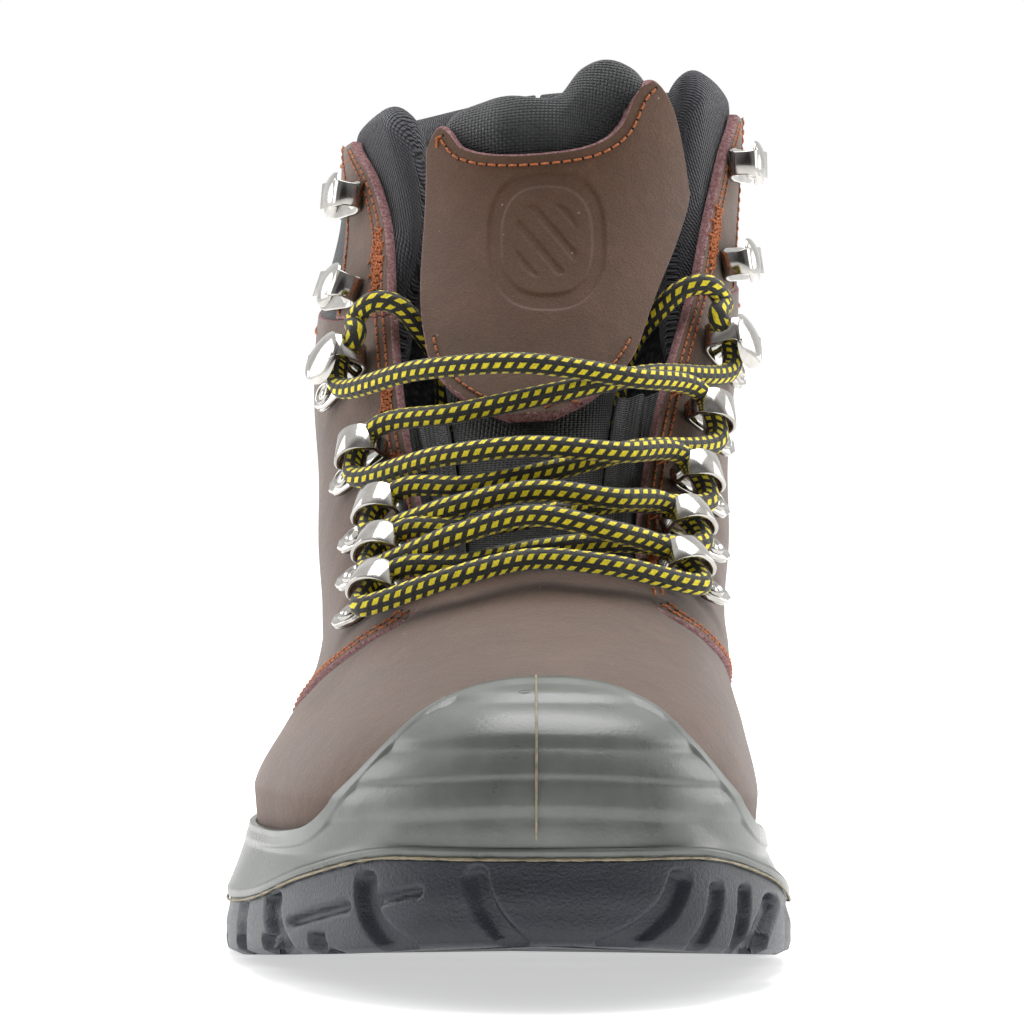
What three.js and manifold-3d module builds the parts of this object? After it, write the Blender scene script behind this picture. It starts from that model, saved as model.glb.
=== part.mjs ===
// Steel toe work boot, right foot, standing on its sole.
// Millimetres, +Z up, toe towards -Y, inner (medial) side towards +X.
import * as THREE from 'three';
import { mergeVertices } from 'three/addons/utils/BufferGeometryUtils.js';
import Module from 'manifold-3d';

const wasm = await Module();
wasm.setup();

// ---------- driving dimensions ----------
const LENGTH = 305;
const FOREFOOT_WIDTH = 112;
const GAP = 0.3;
const UPPER_GAP = 0.7;
const GUARD_GAP = 1.2;
const LEATHER = 2.2;
const TOE_STEEL = 1.8;
const LINING_DEPTH = 5.3;
const LINING = 1.2;
const PADDING = 9.5;
const TONGUE_PAD = 8;
const LACE_DIAMETER = 4.5;
const LACE_SIDES = 8;
const FOLD_HEIGHT = 122;
const MIDLINE_SHIFT = 0.115;

// Each table lists [position, value]; the position runs from the toe (0) to the heel (1).
const MIDLINE = [[0, 6], [0.05, 5.6], [0.12, 4], [0.2, 1.5], [0.28, -1], [0.36, -3], [0.5, -6],
  [0.62, -5.7], [0.75, -3], [0.88, -1], [1, 0]];
const ROUNDNESS = [[0, 88], [0.05, 77], [0.12, 71], [0.2, 65.5], [0.28, 61.6], [0.36, 56], [0.5, 44.5],
  [0.62, 40], [0.75, 45.3], [0.88, 61], [0.96, 76], [1, 80]];
const PARTING_HEIGHT = [[0, 28], [0.04, 27], [0.1, 22], [0.18, 15.5], [0.26, 12], [0.34, 11], [0.8, 11.5], [1, 14]];
const TREAD_HEIGHT = [[0, 12], [0.05, 9], [0.12, 6.2], [0.2, 3.3], [0.28, 0.6], [0.31, 0], [0.52, 0],
  [0.57, 5], [0.64, 5], [0.655, 0], [0.93, 0], [1, 2.5]];

// Cross rings of the upper, feather line first, top line at index 10:
// toe or instep point [front, frontZ], heel point [back, backZ], side height, share of the
// sole's outline in the ring, half width of the oval that takes the rest, outline scale.
const RINGS = [
  { front: -146, frontZ: 25, back: 144, backZ: 24, sideZ: 19, sole: 1, half: 44, scale: 0.87, shift: 0 },
  { front: -149, frontZ: 38, back: 147, backZ: 38, sideZ: 33, sole: 1, half: 44, scale: 0.89, shift: 0 },
  { front: -143, frontZ: 50, back: 148, backZ: 52, sideZ: 45, sole: 0.65, half: 44.5, scale: 0.9, shift: 0 },
  { front: -122, frontZ: 57.5, back: 146, backZ: 67, sideZ: 56, sole: 0.35, half: 44, scale: 0.9, shift: 0 },
  { front: -92, frontZ: 64.5, back: 143, backZ: 82, sideZ: 68, sole: 0.22, half: 43, scale: 0.95, shift: -1 },
  { front: -62, frontZ: 74, back: 140, backZ: 98, sideZ: 81, sole: 0.12, half: 43.5, scale: 1, shift: -1.5 },
  { front: -34, frontZ: 88, back: 138, backZ: 113, sideZ: 95, sole: 0.05, half: 44.5, scale: 1, shift: -2 },
  { front: -8, frontZ: 109, back: 137, backZ: 128, sideZ: 112, sole: 0, half: 46.5, scale: 1, shift: -2 },
  { front: 10, frontZ: 131, back: 137.5, backZ: 143, sideZ: 131, sole: 0, half: 46.7, scale: 1, shift: -1 },
  { front: 22, frontZ: 153, back: 138.5, backZ: 157, sideZ: 150, sole: 0, half: 44.8, scale: 1, shift: 1.2 },
  { front: 27, frontZ: 175, back: 139.5, backZ: 170, sideZ: 167, sole: 0, half: 44.5, scale: 1, shift: 2 },
  { front: 28, frontZ: 189, back: 140, backZ: 181, sideZ: 179, sole: 0, half: 43, scale: 1, shift: 3 },
];
const THROAT = 0.52;
const TOP = 1;
// Where the front edge of the quarters runs: [height on the upper, turn from the front centre].
const OPENING_EDGE = [[0, 0.25], [0.12, 0.243], [0.27, 0.2], [0.38, 0.13], [0.45, 0.084], [0.52, 0.077], [0.57, 0.08],
  [0.63, 0.09], [0.7, 0.103], [0.75, 0.113], [0.8, 0.1245], [0.85, 0.135], [0.9, 0.15], [0.95, 0.171], [1, 0.202],
  [1.1, 0.22]];
// How much further round the outer side's edge is cut, halved: [height on the upper, turn].
const OPENING_SKEW = [[0.64, 0], [0.72, -0.003], [0.8, -0.0095], [0.87, -0.01], [0.93, -0.008], [1, -0.002]];
const FACING_WIDTH = [[0.37, 0.004], [0.43, 0.035], [0.5, 0.055], [0.7, 0.07], [0.9, 0.065], [1, 0.04]];
// Top edge of the toe guard: [turn from the front centre, height on the upper].
const GUARD_EDGE = [[0, 0.291], [0.015, 0.289], [0.033, 0.276], [0.045, 0.256], [0.056, 0.23], [0.07, 0.178],
  [0.084, 0.123], [0.106, 0.07], [0.13, 0.052], [0.16, 0.046], [0.5, 0.05]];
// Front edge of the collar padding, and side edges of the tongue: [height on the upper, turn].
const PADDING_EDGE = {
  medial: [[0.72, 0.142], [0.8, 0.14], [0.87, 0.14], [1.1, 0.145]],
  lateral: [[0.72, 0.135], [0.8, 0.125], [0.87, 0.118], [0.93, 0.126], [1, 0.145], [1.1, 0.17]],
};
const TONGUE_EDGE = {
  medial: [[0.5, 0.05], [0.6, 0.058], [0.7, 0.073], [0.76, 0.086], [0.8, 0.097], [0.86, 0.118], [0.9, 0.128],
    [1.1, 0.129]],
  lateral: [[0.5, 0.05], [0.6, 0.058], [0.7, 0.072], [0.76, 0.083], [0.8, 0.09], [0.9, 0.1], [1.1, 0.104]],
};
// Top of the tongue, and cut-out of its leather face: [share of its width from the outer side, height].
const TONGUE_TOP = [[0, 0.982], [0.08, 1], [0.27, 1.006], [0.47, 0.998], [0.57, 1.032], [0.68, 1.045], [0.81, 1.02],
  [0.92, 0.972], [1, 0.9]];
const FACE_TOP = [[0, 0.976], [0.045, 0.982], [0.09, 0.965], [0.15, 0.951], [0.28, 0.942], [0.49, 0.94], [0.62, 0.948],
  [0.7, 0.965], [0.75, 0.995], [0.79, 1.008], [0.85, 0.996], [0.92, 0.962], [1, 0.893]];
// Half of the leather face's width as a share of the tongue's: [height on the upper, share].
const FACE_SHARE = [[0.69, 0.25], [0.705, 0.62], [0.73, 0.9], [0.76, 0.985], [1.1, 0.99]];

// ---------- materials ----------
const material = (color, roughness, metalness = 0) =>
  new THREE.MeshStandardMaterial({ color, roughness, metalness });
const nubuck = material(0x72594d, 0.85);
const nylon = material(0x22232a, 0.9);
const mesh = material(0x2b2c33, 0.95);
const foamRubber = material(0x76787a, 0.6);
const rubber = material(0x2c303a, 0.45);
const nickel = material(0xcfcfca, 0.2, 1);
const steel = material(0x8d9196, 0.35, 1);
const board = material(0xc8b99a, 0.9);
const laceBraid = material(0x1d1d1c, 0.85);
const felt = material(0x3a3b3f, 0.95);

// ---------- small helpers ----------
const clamp = THREE.MathUtils.clamp;
const lerp = THREE.MathUtils.lerp;

// Smooth curve through a table of [position, value].
function curve(table, t) {
  const last = table.length - 1;
  if (t <= table[0][0]) return table[0][1];
  if (t >= table[last][0]) return table[last][1];
  let i = 0;
  while (t > table[i + 1][0]) i += 1;
  const slope = (k) => {
    const a = table[Math.max(k - 1, 0)];
    const b = table[Math.min(k + 1, last)];
    return (b[1] - a[1]) / (b[0] - a[0]);
  };
  const [x0, y0] = table[i];
  const [x1, y1] = table[i + 1];
  const w = x1 - x0;
  const s = (t - x0) / w;
  const flat = s * s * (3 - 2 * s);
  return lerp(y0, y1, flat) + w * s * (1 - s) * (slope(i) * (1 - s) - slope(i + 1) * s);
}

const station = (turn) => (1 - Math.cos(turn)) / 2;

function soleOutline(turn, inset, z) {
  const s = station(turn);
  const half = (curve(ROUNDNESS, s) * FOREFOOT_WIDTH) / 112 * (1 - (2 * inset) / FOREFOOT_WIDTH);
  return new THREE.Vector3(
    MIDLINE_SHIFT + curve(MIDLINE, s) + half * Math.sin(turn),
    -(LENGTH / 2 - inset) * Math.cos(turn),
    z,
  );
}

function soleSpine(turn, z) {
  const s = station(turn);
  const reach = LENGTH / 2 - 14;
  return new THREE.Vector3(MIDLINE_SHIFT + curve(MIDLINE, s), -reach * Math.cos(turn), z);
}

// One measure of the upper's rings at height v (0 feather line, 1 top line).
const ringTables = Object.fromEntries(
  Object.keys(RINGS[0]).map((key) => [key, RINGS.map((ring, i) => [i / 10, ring[key]])]),
);
const ringAt = (key, v) => curve(ringTables[key], v);

// Outer face of the upper: u is the turn round the boot (0 front, 0.25 inner side, 0.5 heel).
function skin(u, v) {
  const turn = 2 * Math.PI * u;
  const s = station(turn);
  const front = ringAt('front', v);
  const back = ringAt('back', v);
  const frontZ = ringAt('frontZ', v);
  const backZ = ringAt('backZ', v);
  const sideZ = ringAt('sideZ', v);
  const share = clamp(ringAt('sole', v), 0, 1);
  const half = lerp(ringAt('half', v), curve(ROUNDNESS, s), share) * ringAt('scale', v);
  const shaftMidline = 6 - 2.6 * s + ringAt('shift', v);
  const midline = lerp(shaftMidline, curve(MIDLINE, s) - 0.5, share);
  const level = ((frontZ + backZ) / 2 + sideZ) / 2;
  const saddle = ((frontZ + backZ) / 2 - sideZ) / 2;
  const tilt = 3.2 * clamp(v * 1.6 - 0.3, 0, 1) * Math.sin(turn);
  return new THREE.Vector3(
    MIDLINE_SHIFT + midline + half * Math.sin(turn),
    (front + back) / 2 - ((back - front) / 2) * Math.cos(turn),
    level + ((frontZ - backZ) / 2) * Math.cos(turn) + saddle * Math.cos(2 * turn) + tilt,
  );
}

// Place on the upper with its own directions: across (round the boot), up and outward.
function skinFrame(u, v) {
  const step = 0.002;
  const across = skin(u + step, v).sub(skin(u - step, v)).normalize();
  const up = skin(u, v + step).sub(skin(u, v - step));
  const out = new THREE.Vector3().crossVectors(across, up).normalize();
  up.crossVectors(out, across);
  return { point: skin(u, v), across, up, out };
}

// Point at a depth under (negative) or over (positive) the upper's outer face.
function under(u, v, depth) {
  const { point, out } = skinFrame(u, v);
  return point.addScaledVector(out, depth);
}

const featherHeight = (turn) => skin(turn / (2 * Math.PI), 0).z;

// ---------- solids ----------
function tidy(geometry) {
  geometry.deleteAttribute('normal');
  geometry.deleteAttribute('uv');
  const merged = mergeVertices(geometry, 1e-3);
  const p = merged.attributes.position;
  const index = Array.from(merged.index.array);
  const kept = [];
  let volume = 0;
  const [a, b, c] = [new THREE.Vector3(), new THREE.Vector3(), new THREE.Vector3()];
  for (let i = 0; i < index.length; i += 3) {
    const [i0, i1, i2] = index.slice(i, i + 3);
    if (i0 !== i1 && i1 !== i2 && i2 !== i0) {
      kept.push(i0, i1, i2);
      a.fromBufferAttribute(p, i0);
      b.fromBufferAttribute(p, i1);
      c.fromBufferAttribute(p, i2);
      volume += a.dot(b.cross(c));
    }
  }
  if (volume < 0) kept.reverse();
  merged.setIndex(kept);
  return merged;
}

function toSolid(geometry) {
  const g = tidy(geometry);
  return new wasm.Manifold(new wasm.Mesh({
    numProp: 3,
    vertProperties: new Float32Array(g.attributes.position.array),
    triVerts: new Uint32Array(g.index.array),
  }));
}

function fromSolid(solid) {
  const m = solid.getMesh();
  const g = new THREE.BufferGeometry();
  g.setAttribute('position', new THREE.BufferAttribute(new Float32Array(m.vertProperties), 3));
  g.setIndex(Array.from(m.triVerts));
  return g;
}

const join = (geometries) => fromSolid(geometries.map(toSolid).reduce((all, next) => all.add(next)));
const cut = (geometry, cutters) =>
  fromSolid(cutters.map(toSolid).reduce((rest, cutter) => rest.subtract(cutter), toSolid(geometry)));

// Slab bent over the upper. place(a, b) gives [u, v]; depth(a, b, outer) gives the offset.
function panel(columns, rows, place, depth) {
  const box = new THREE.BoxGeometry(1, 1, 1, columns, rows, 1);
  const p = box.attributes.position;
  for (let i = 0; i < p.count; i += 1) {
    const [a, b] = [p.getX(i) + 0.5, p.getY(i) + 0.5];
    const [u, v] = place(a, b);
    const at = under(u, v, depth(a, b, p.getZ(i) > 0));
    p.setXYZ(i, at.x, at.y, at.z);
  }
  return tidy(box);
}

// Closed body from rings, each a function of the turn; the first and last collapse to a spine.
function ringBody(columns, rings) {
  const profile = rings.map((_, i) => new THREE.Vector2(1, i));
  const lathe = new THREE.LatheGeometry(profile, columns);
  const p = lathe.attributes.position;
  for (let i = 0; i <= columns; i += 1) {
    const turn = i <= columns / 2 ? (2 * Math.PI * i) / columns : (-2 * Math.PI * (columns - i)) / columns;
    rings.forEach((ring, j) => {
      const at = ring(turn);
      p.setXYZ(i * rings.length + j, at.x, at.y, at.z);
    });
  }
  return tidy(lathe);
}

const object = new THREE.Group();
function add(name, geometry, finish) {
  const part = new THREE.Mesh(geometry, finish);
  part.name = name;
  object.add(part);
  return part;
}

// ---------- sole ----------
const SOLE_COLUMNS = 48;
const partingZ = (turn) => curve(PARTING_HEIGHT, station(turn));
const treadZ = (turn) => Math.max(curve(TREAD_HEIGHT, station(turn)), 0);
const trayZ = (turn) => Math.min(partingZ(turn), featherHeight(turn) - 6);

function treadGroove(y, bow, width) {
  const half = FOREFOOT_WIDTH / 2 + 6;
  const line = new THREE.QuadraticBezierCurve3(
    new THREE.Vector3(-half, y + bow, 0),
    new THREE.Vector3(0, y - bow, 0),
    new THREE.Vector3(half, y + bow, 0),
  );
  const section = new THREE.Shape();
  section.moveTo(-3, -width / 2);
  section.lineTo(4, -width / 2 + 0.6);
  section.lineTo(4, width / 2 - 0.6);
  section.lineTo(-3, width / 2);
  section.closePath();
  const groove = new THREE.ExtrudeGeometry(section, { steps: 10, extrudePath: line });
  return groove;
}

function makeOutsole() {
  const body = ringBody(SOLE_COLUMNS, [
    (t) => soleSpine(t, trayZ(t)),
    (t) => soleOutline(t, 8, trayZ(t)),
    (t) => soleOutline(t, 3.2, partingZ(t) - 0.2),
    (t) => soleOutline(t, 0.8, partingZ(t)),
    (t) => soleOutline(t, 0, lerp(treadZ(t), partingZ(t), 0.55)),
    (t) => soleOutline(t, 0.4, treadZ(t) + 2.5),
    (t) => soleOutline(t, 2.8, treadZ(t)),
    (t) => soleSpine(t, treadZ(t)),
  ]);
  const heights = [-128, -108, -88, -70, -52, -34, -14, 8, 82, 102, 122];
  const grooves = heights.map((y) => {
    const groove = treadGroove(y, y < 60 ? 7 : -6, 4.5);
    const turn = Math.acos(clamp(-y / (LENGTH / 2), -1, 1));
    groove.translate(0, 0, treadZ(turn));
    return groove;
  });
  return cut(body, grooves);
}

function makeMidsole() {
  const edge = (t) => curve(GUARD_EDGE, Math.abs(t) / (2 * Math.PI));
  const wall = (t, part, depth) => under(t / (2 * Math.PI), edge(t) * part, depth);
  const floorZ = (t) => featherHeight(t) - 3.2;
  const inside = [1, 0.92, 0.83, 0.74, 0.65, 0.56, 0.47, 0.38, 0.28, 0.18, 0.08, 0]
    .map((part) => (t) => wall(t, part, GUARD_GAP));
  return ringBody(SOLE_COLUMNS, [
    (t) => soleSpine(t, trayZ(t) + GAP),
    (t) => soleOutline(t, 8.2, trayZ(t) + GAP),
    (t) => soleOutline(t, 3.4, partingZ(t) + 0.15),
    (t) => soleOutline(t, 0.2, partingZ(t) + GAP),
    (t) => soleOutline(t, 0.2, partingZ(t) + 2),
    (t) => wall(t, 0.35, 3.3),
    (t) => wall(t, 0.62, 3.5),
    (t) => wall(t, 0.84, 3.4),
    (t) => wall(t, 0.97, 3),
    (t) => wall(t, 1, 1.8),
    ...inside,
    (t) => soleOutline(t, 10, floorZ(t)),
    (t) => soleSpine(t, floorZ(t)),
  ]);
}

// Flat inner sole layer that follows the feather line.
function insoleLayer(inset, low, thick) {
  const rim = (t, z) => {
    const at = under(t / (2 * Math.PI), 0, -inset);
    return at.setZ(featherHeight(t) + z);
  };
  const spine = (t, z) => soleSpine(t, featherHeight(t) + z).multiply(new THREE.Vector3(1, 0.98, 1));
  return ringBody(SOLE_COLUMNS, [
    (t) => spine(t, low),
    (t) => rim(t, low),
    (t) => rim(t, low + thick),
    (t) => spine(t, low + thick),
  ]);
}

add('outsole', makeOutsole(), rubber);
add('midsole', makeMidsole(), foamRubber);
add('penetration_plate', insoleLayer(3.4, -2.8, 0.9), steel);
add('insole_board', insoleLayer(3, -1.5, 1.7), board);
add('footbed', insoleLayer(8, 0.6, 4.5), felt);

// ---------- upper ----------
const SEAM = 0.0012;
const LINING_SEAM = 0.006;
const opening = (v, sign = 0) => curve(OPENING_EDGE, v) - sign * curve(OPENING_SKEW, v);
const facing = (v) => curve(FACING_WIDTH, v);
const slab = (top, thick) => (a, b, outer) => (outer ? top : top - thick);
// sign +1 is the inner side, -1 the outer side of the foot.
const oneSide = (sign, from, to, low, high) => (a, b) => {
  const v = lerp(low, high, b);
  const t = sign > 0 ? a : 1 - a;
  return [sign * lerp(from(v, sign), to(v, sign), t), v];
};
const SIDES = [['medial', 1], ['lateral', -1]];

add('vamp', panel(24, 15, (a, b) => {
  const v = lerp(0.002, THROAT, b);
  return [(2 * a - 1) * (opening(v) - SEAM), v];
}, slab(0, LEATHER)), nubuck);

const BACK = 0.4;
const PANEL_LOW = 0.8;
const PANEL_HIGH = 0.93;
SIDES.forEach(([side, sign]) => {
  const front = (v) => opening(v, sign) + facing(v) + SEAM;
  add(`quarter_${side}`, panel(10, 16, oneSide(sign, front, () => BACK - SEAM, 0.002, PANEL_LOW - 0.003),
    slab(0, LEATHER)), nubuck);
  add(`ankle_panel_${side}`, panel(8, 3, oneSide(sign, front, () => BACK - SEAM, PANEL_LOW, PANEL_HIGH),
    slab(-0.2, LEATHER - 0.2)), nylon);
  add(`collar_leather_${side}`, panel(8, 2, oneSide(sign, front, () => BACK - SEAM, PANEL_HIGH + 0.003, TOP),
    slab(0, LEATHER)), nubuck);
  add(`eyestay_${side}`, panel(3, 18, oneSide(sign, (v) => opening(v, sign) + SEAM,
    (v) => opening(v, sign) + facing(v) - SEAM, 0.375, TOP), slab(0, LEATHER)), nubuck);
});

const heelPanel = (low, high, rows) => panel(8, rows, (a, b) => [
  lerp(BACK + SEAM, 1 - BACK - SEAM, a), lerp(low, high, b)], slab(0, LEATHER));
add('heel_cover', heelPanel(0.002, 0.62, 10), nubuck);
add('backstay', heelPanel(0.623, TOP, 6), nubuck);

// Steel cap ends on an upright plane behind the toes.
const CAP_BACK = -94;
add('steel_toe_cap', panel(18, 8, (a, b) => {
  const v = lerp(0.02, 0.385, b);
  const mid = (ringAt('front', v) + ringAt('back', v)) / 2;
  const reach = (ringAt('back', v) - ringAt('front', v)) / 2;
  const u = Math.acos(clamp((mid - CAP_BACK) / reach, -1, 1)) / (2 * Math.PI);
  return [(2 * a - 1) * u, v];
}, slab(-LEATHER - UPPER_GAP, TOE_STEEL)), steel);

add('heel_counter', panel(10, 6, (a, b) => [lerp(0.37, 0.63, a), lerp(0.02, 0.42, b)],
  slab(-LEATHER - UPPER_GAP, 1.6)), board);

add('vamp_lining', panel(16, 10, (a, b) => {
  const v = lerp(0.04, THROAT, b);
  return [(2 * a - 1) * (opening(v) - LINING_SEAM), v];
}, slab(-LINING_DEPTH, LINING)), mesh);

add('quarter_lining', panel(20, 8, (a, b) => {
  const v = lerp(0.04, 0.7, b);
  return [lerp(opening(v) + LINING_SEAM, 1 - opening(v) - LINING_SEAM, a), v];
}, slab(-LINING_DEPTH, LINING)), mesh);

// Padded collar, two rolls that meet at the heel; it rises over the leather with a round top.
SIDES.forEach(([side, sign]) => {
  const place = oneSide(sign, (v) => curve(PADDING_EDGE[side], v), () => 0.4985, 0.72, 1.07);
  const puff = (a, b, outer) => {
    const top = Math.sqrt(clamp((1 - b) / 0.12, 0.15, 1));
    const low = Math.sqrt(clamp(b / 0.15, 0.2, 1));
    const t = sign > 0 ? a : 1 - a;
    const nose = Math.sqrt(clamp(t / 0.05, 0.4, 1));
    const thick = PADDING * top * low * nose;
    const middle = -LEATHER - 0.5 - PADDING / 2;
    return outer ? middle + thick / 2 : middle - thick / 2;
  };
  add(`collar_padding_${side}`, panel(14, 8, place, puff), mesh);
});

// ---------- tongue ----------
// Height on the upper where the skin at this turn reaches a given height above the ground.
function heightToRow(u, z) {
  let low = 0.5;
  let high = 1;
  for (let i = 0; i < 24; i += 1) {
    const middle = (low + high) / 2;
    if (skin(u, middle).z < z) low = middle;
    else high = middle;
  }
  return low;
}

// Turn at a share of the tongue's width, 0 at its outer edge; part narrows it about the middle.
function tongueTurn(a, v, part = 1) {
  const middle = (curve(TONGUE_EDGE.medial, v) - curve(TONGUE_EDGE.lateral, v)) / 2;
  const half = (curve(TONGUE_EDGE.medial, v) + curve(TONGUE_EDGE.lateral, v)) / 2;
  return middle + (2 * a - 1) * half * part;
}
const faceShare = (v) => curve(FACE_SHARE, v);
const tongueTop = (a) => curve(TONGUE_TOP, a);
const tonguePlace = (part, low, high) => (a, b) => {
  const v = lerp(low(a), high(a), b);
  return [tongueTurn(a, v, part(v)), v];
};
const foldRow = (z) => (a) => heightToRow(tongueTurn(a, 0.76), z);
const whole = () => 1;
const PAD_FACE = -3.1;
const padDepth = (a, b, outer) => (outer ? PAD_FACE : PAD_FACE - TONGUE_PAD);
const padTopDepth = (a, b, outer) => {
  const thin = Math.sqrt(clamp((1 - b) / 0.15, 0.15, 1));
  const middle = PAD_FACE - TONGUE_PAD / 2;
  return middle + (outer ? 0.5 : -0.5) * TONGUE_PAD * thin;
};

add('tongue_base', panel(10, 8, tonguePlace(whole, () => 0.545, foldRow(FOLD_HEIGHT - GAP)),
  (a, b, outer) => padDepth(a, b, outer) - 2.5 * (1 - b) * (outer ? 1 : 0.4)), nylon);
add('tongue_patch_lower', panel(10, 5, tonguePlace(faceShare, () => 0.69, foldRow(FOLD_HEIGHT - GAP)),
  slab(-0.5, LEATHER)), nubuck);
add('tongue_top', panel(16, 8, tonguePlace(whole, foldRow(FOLD_HEIGHT + GAP), tongueTop), padTopDepth), mesh);
add('tongue_patch', panel(24, 8, tonguePlace(faceShare, foldRow(FOLD_HEIGHT + GAP), (a) => curve(FACE_TOP, a)),
  slab(-0.5, LEATHER)), nubuck);

SIDES.forEach(([side, sign]) => {
  add(`gusset_${side}`, panel(3, 6, oneSide(sign, (v) => curve(TONGUE_EDGE[side], v) + 0.006,
    (v) => opening(v) + 0.035, 0.54, 0.71), slab(-3.1, 1)), nylon);
});

// ---------- hardware ----------
const STRIP = 1.2;
const LOOP_WIDTH = 5;
const HOOK_WIDTH = 6;
const RING_HALF = 5.2;
const RING_TALL = 9;
const LACE_HEIGHT = 4.8;
const TAB_REACH = 13;
// Place of each lace holder: [turn from the front, height on the upper], from the toe up.
const LOOPS = {
  medial: [[0.103, 0.482], [0.11, 0.544], [0.122, 0.604], [0.136, 0.67]],
  lateral: [[0.107, 0.458], [0.104, 0.521], [0.106, 0.578], [0.122, 0.648]],
};
const LOCK_HOOK = { medial: [0.154, 0.744], lateral: [0.142, 0.744] };
const SPEED_HOOKS = { medial: [[0.176, 0.826], [0.186, 0.935]], lateral: [[0.158, 0.822], [0.178, 0.926]] };

// Profiles lie across the boot (x, positive away from the tongue) and outward (y).
function loopProfile() {
  const outline = new THREE.Shape();
  outline.moveTo(TAB_REACH, 0);
  outline.lineTo(-RING_HALF + 1, 0);
  outline.lineTo(-RING_HALF, 1);
  outline.absellipse(0, 4.2, RING_HALF, RING_TALL - 4.2, Math.PI, 0, true);
  outline.lineTo(RING_HALF, STRIP);
  outline.lineTo(TAB_REACH, STRIP);
  return outline;
}

function hookProfile(tall) {
  const outline = new THREE.Shape();
  outline.moveTo(TAB_REACH + 2, 0);
  outline.lineTo(-3, 0);
  outline.quadraticCurveTo(-5, 0, -5, 2);
  outline.lineTo(-5, tall - 2);
  outline.quadraticCurveTo(-5, tall, -3, tall);
  outline.lineTo(6, tall);
  outline.lineTo(6.5, tall - STRIP);
  outline.lineTo(-2.4, tall - STRIP);
  outline.quadraticCurveTo(-3.8, tall - STRIP, -3.8, tall - 2.6);
  outline.lineTo(-3.8, 2.6);
  outline.quadraticCurveTo(-3.8, STRIP, -2.4, STRIP);
  outline.lineTo(TAB_REACH + 2, STRIP);
  return outline;
}

function strap(outline, width) {
  const solid = new THREE.ExtrudeGeometry(outline, { depth: width, bevelEnabled: false, curveSegments: 4 });
  solid.rotateX(Math.PI / 2);
  solid.translate(0, width / 2, 0);
  return solid;
}

function oval(halfAcross, halfUp, thick) {
  const plate = new THREE.CylinderGeometry(1, 1, thick, 16);
  plate.rotateX(Math.PI / 2);
  plate.scale(halfAcross, halfUp, 1);
  return plate;
}

function makeLoop() {
  const eye = new THREE.CylinderGeometry(1, 1, LOOP_WIDTH + 2, 12);
  eye.scale(RING_HALF - STRIP, 1, 3.3);
  eye.translate(0, 0, 4.5);
  return cut(strap(loopProfile(), LOOP_WIDTH), [eye]);
}

function makeHook(tall, capAcross, capUp) {
  const cap = oval(capAcross, capUp, STRIP + 0.4);
  cap.translate(1.2, 0, tall - 0.3);
  return join([strap(hookProfile(tall), HOOK_WIDTH), cap]);
}

function makeRivet() {
  const dome = [[0, 0], [2.5, 0], [2.5, 0.4], [1.9, 1], [0, 1.4]].map(([x, y]) => new THREE.Vector2(x, y));
  const head = new THREE.LatheGeometry(dome, 10);
  head.rotateX(Math.PI / 2);
  return tidy(head);
}

// Stands a piece on the upper; sign -1 mirrors it for the outer side of the foot.
function fasten(name, geometry, sign, [u, v], along = 0, lift = GAP) {
  const solid = geometry.clone();
  if (sign < 0) {
    solid.scale(-1, 1, 1);
    solid.index.array.reverse();
  }
  solid.translate(sign * along, 0, lift);
  const { point, across, up, out } = skinFrame(sign * u, v);
  const part = add(name, solid, nickel);
  part.matrix.makeBasis(across, up, out).setPosition(point);
  part.matrix.decompose(part.position, part.quaternion, part.scale);
  return part;
}

const loop = makeLoop();
const lockHook = makeHook(RING_TALL + 0.4, 6.2, 6);
const speedHook = makeHook(6.8, 4.4, 4.8);
const rivet = makeRivet();
SIDES.forEach(([side, sign]) => {
  const places = [
    ...LOOPS[side].map((at, i) => [`lace_loop_${side}_${i + 1}`, loop, at, 9.2]),
    [`lock_hook_${side}`, lockHook, LOCK_HOOK[side], 11.6],
    ...SPEED_HOOKS[side].map((at, i) => [`speed_hook_${side}_${i + 1}`, speedHook, at, 11.6]),
  ];
  places.forEach(([name, shape, at, rivetAt], i) => {
    fasten(name, shape, sign, at);
    fasten(`rivet_${side}_${i + 1}`, rivet, sign, at, rivetAt, GAP + STRIP + GAP);
  });
});

// ---------- lace ----------
// Half of the lace's way through a holder, along the foot: share of the upper's height, and length.
const HALF_PASS = 0.018;
const PASS_REACH = 6;
// Ends and middle of the pass as [turn, height on the upper]; medial turns are positive.
const passRows = (sign, [u, v], way) => [-1, 1].map((step) => [sign * (u - 0.01), v + way * step * HALF_PASS]);
function passStops(sign, [u, v], way) {
  const { point, across, up, out } = skinFrame(sign * u, v);
  return [-1, 0, 1].map((step) => point.clone()
    .addScaledVector(across, sign * (0.5 - 4 * step * step))
    .addScaledVector(up, way * step * PASS_REACH)
    .addScaledVector(out, LACE_HEIGHT + 0.3 * step * step));
}
// The lace's way over the tongue between two holders, raised to a crest and bowed up in the middle.
function spanStops([u0, v0], [u1, v1], crest, bow) {
  return [[0.25, 0.6], [0.5, 1], [0.75, 0.6]].map(([t, rise]) => under(
    lerp(u0, u1, t), lerp(v0, v1, t) + bow * rise, lerp(LACE_HEIGHT, crest, rise)));
}
// The inner end slips down a little further from the tongue's middle than the outer one.
const tuck = (sign) => {
  const slip = sign > 0 ? 0.014 : 0;
  return [
    [0.13 + slip, 0.784, 5],
    [0.115 + slip, 0.8, 4.8],
    [0.104 + slip, 0.802, 1.5],
    [0.102 + slip, 0.792, -5],
    [0.102 + slip, 0.77, -13],
    [0.115, 0.72, -17],
    [0.14, 0.66, -15],
    [0.165, 0.58, -11.5],
    [0.185, 0.49, -11],
    [0.205, 0.4, -11],
    [0.23, 0.3, -11],
    [0.26, 0.235, -12],
    [0.29, 0.21, -12.5],
    [0.31, 0.2, -13],
  ].map(([u, v, depth]) => [sign * u, v, depth]);
};
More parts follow.
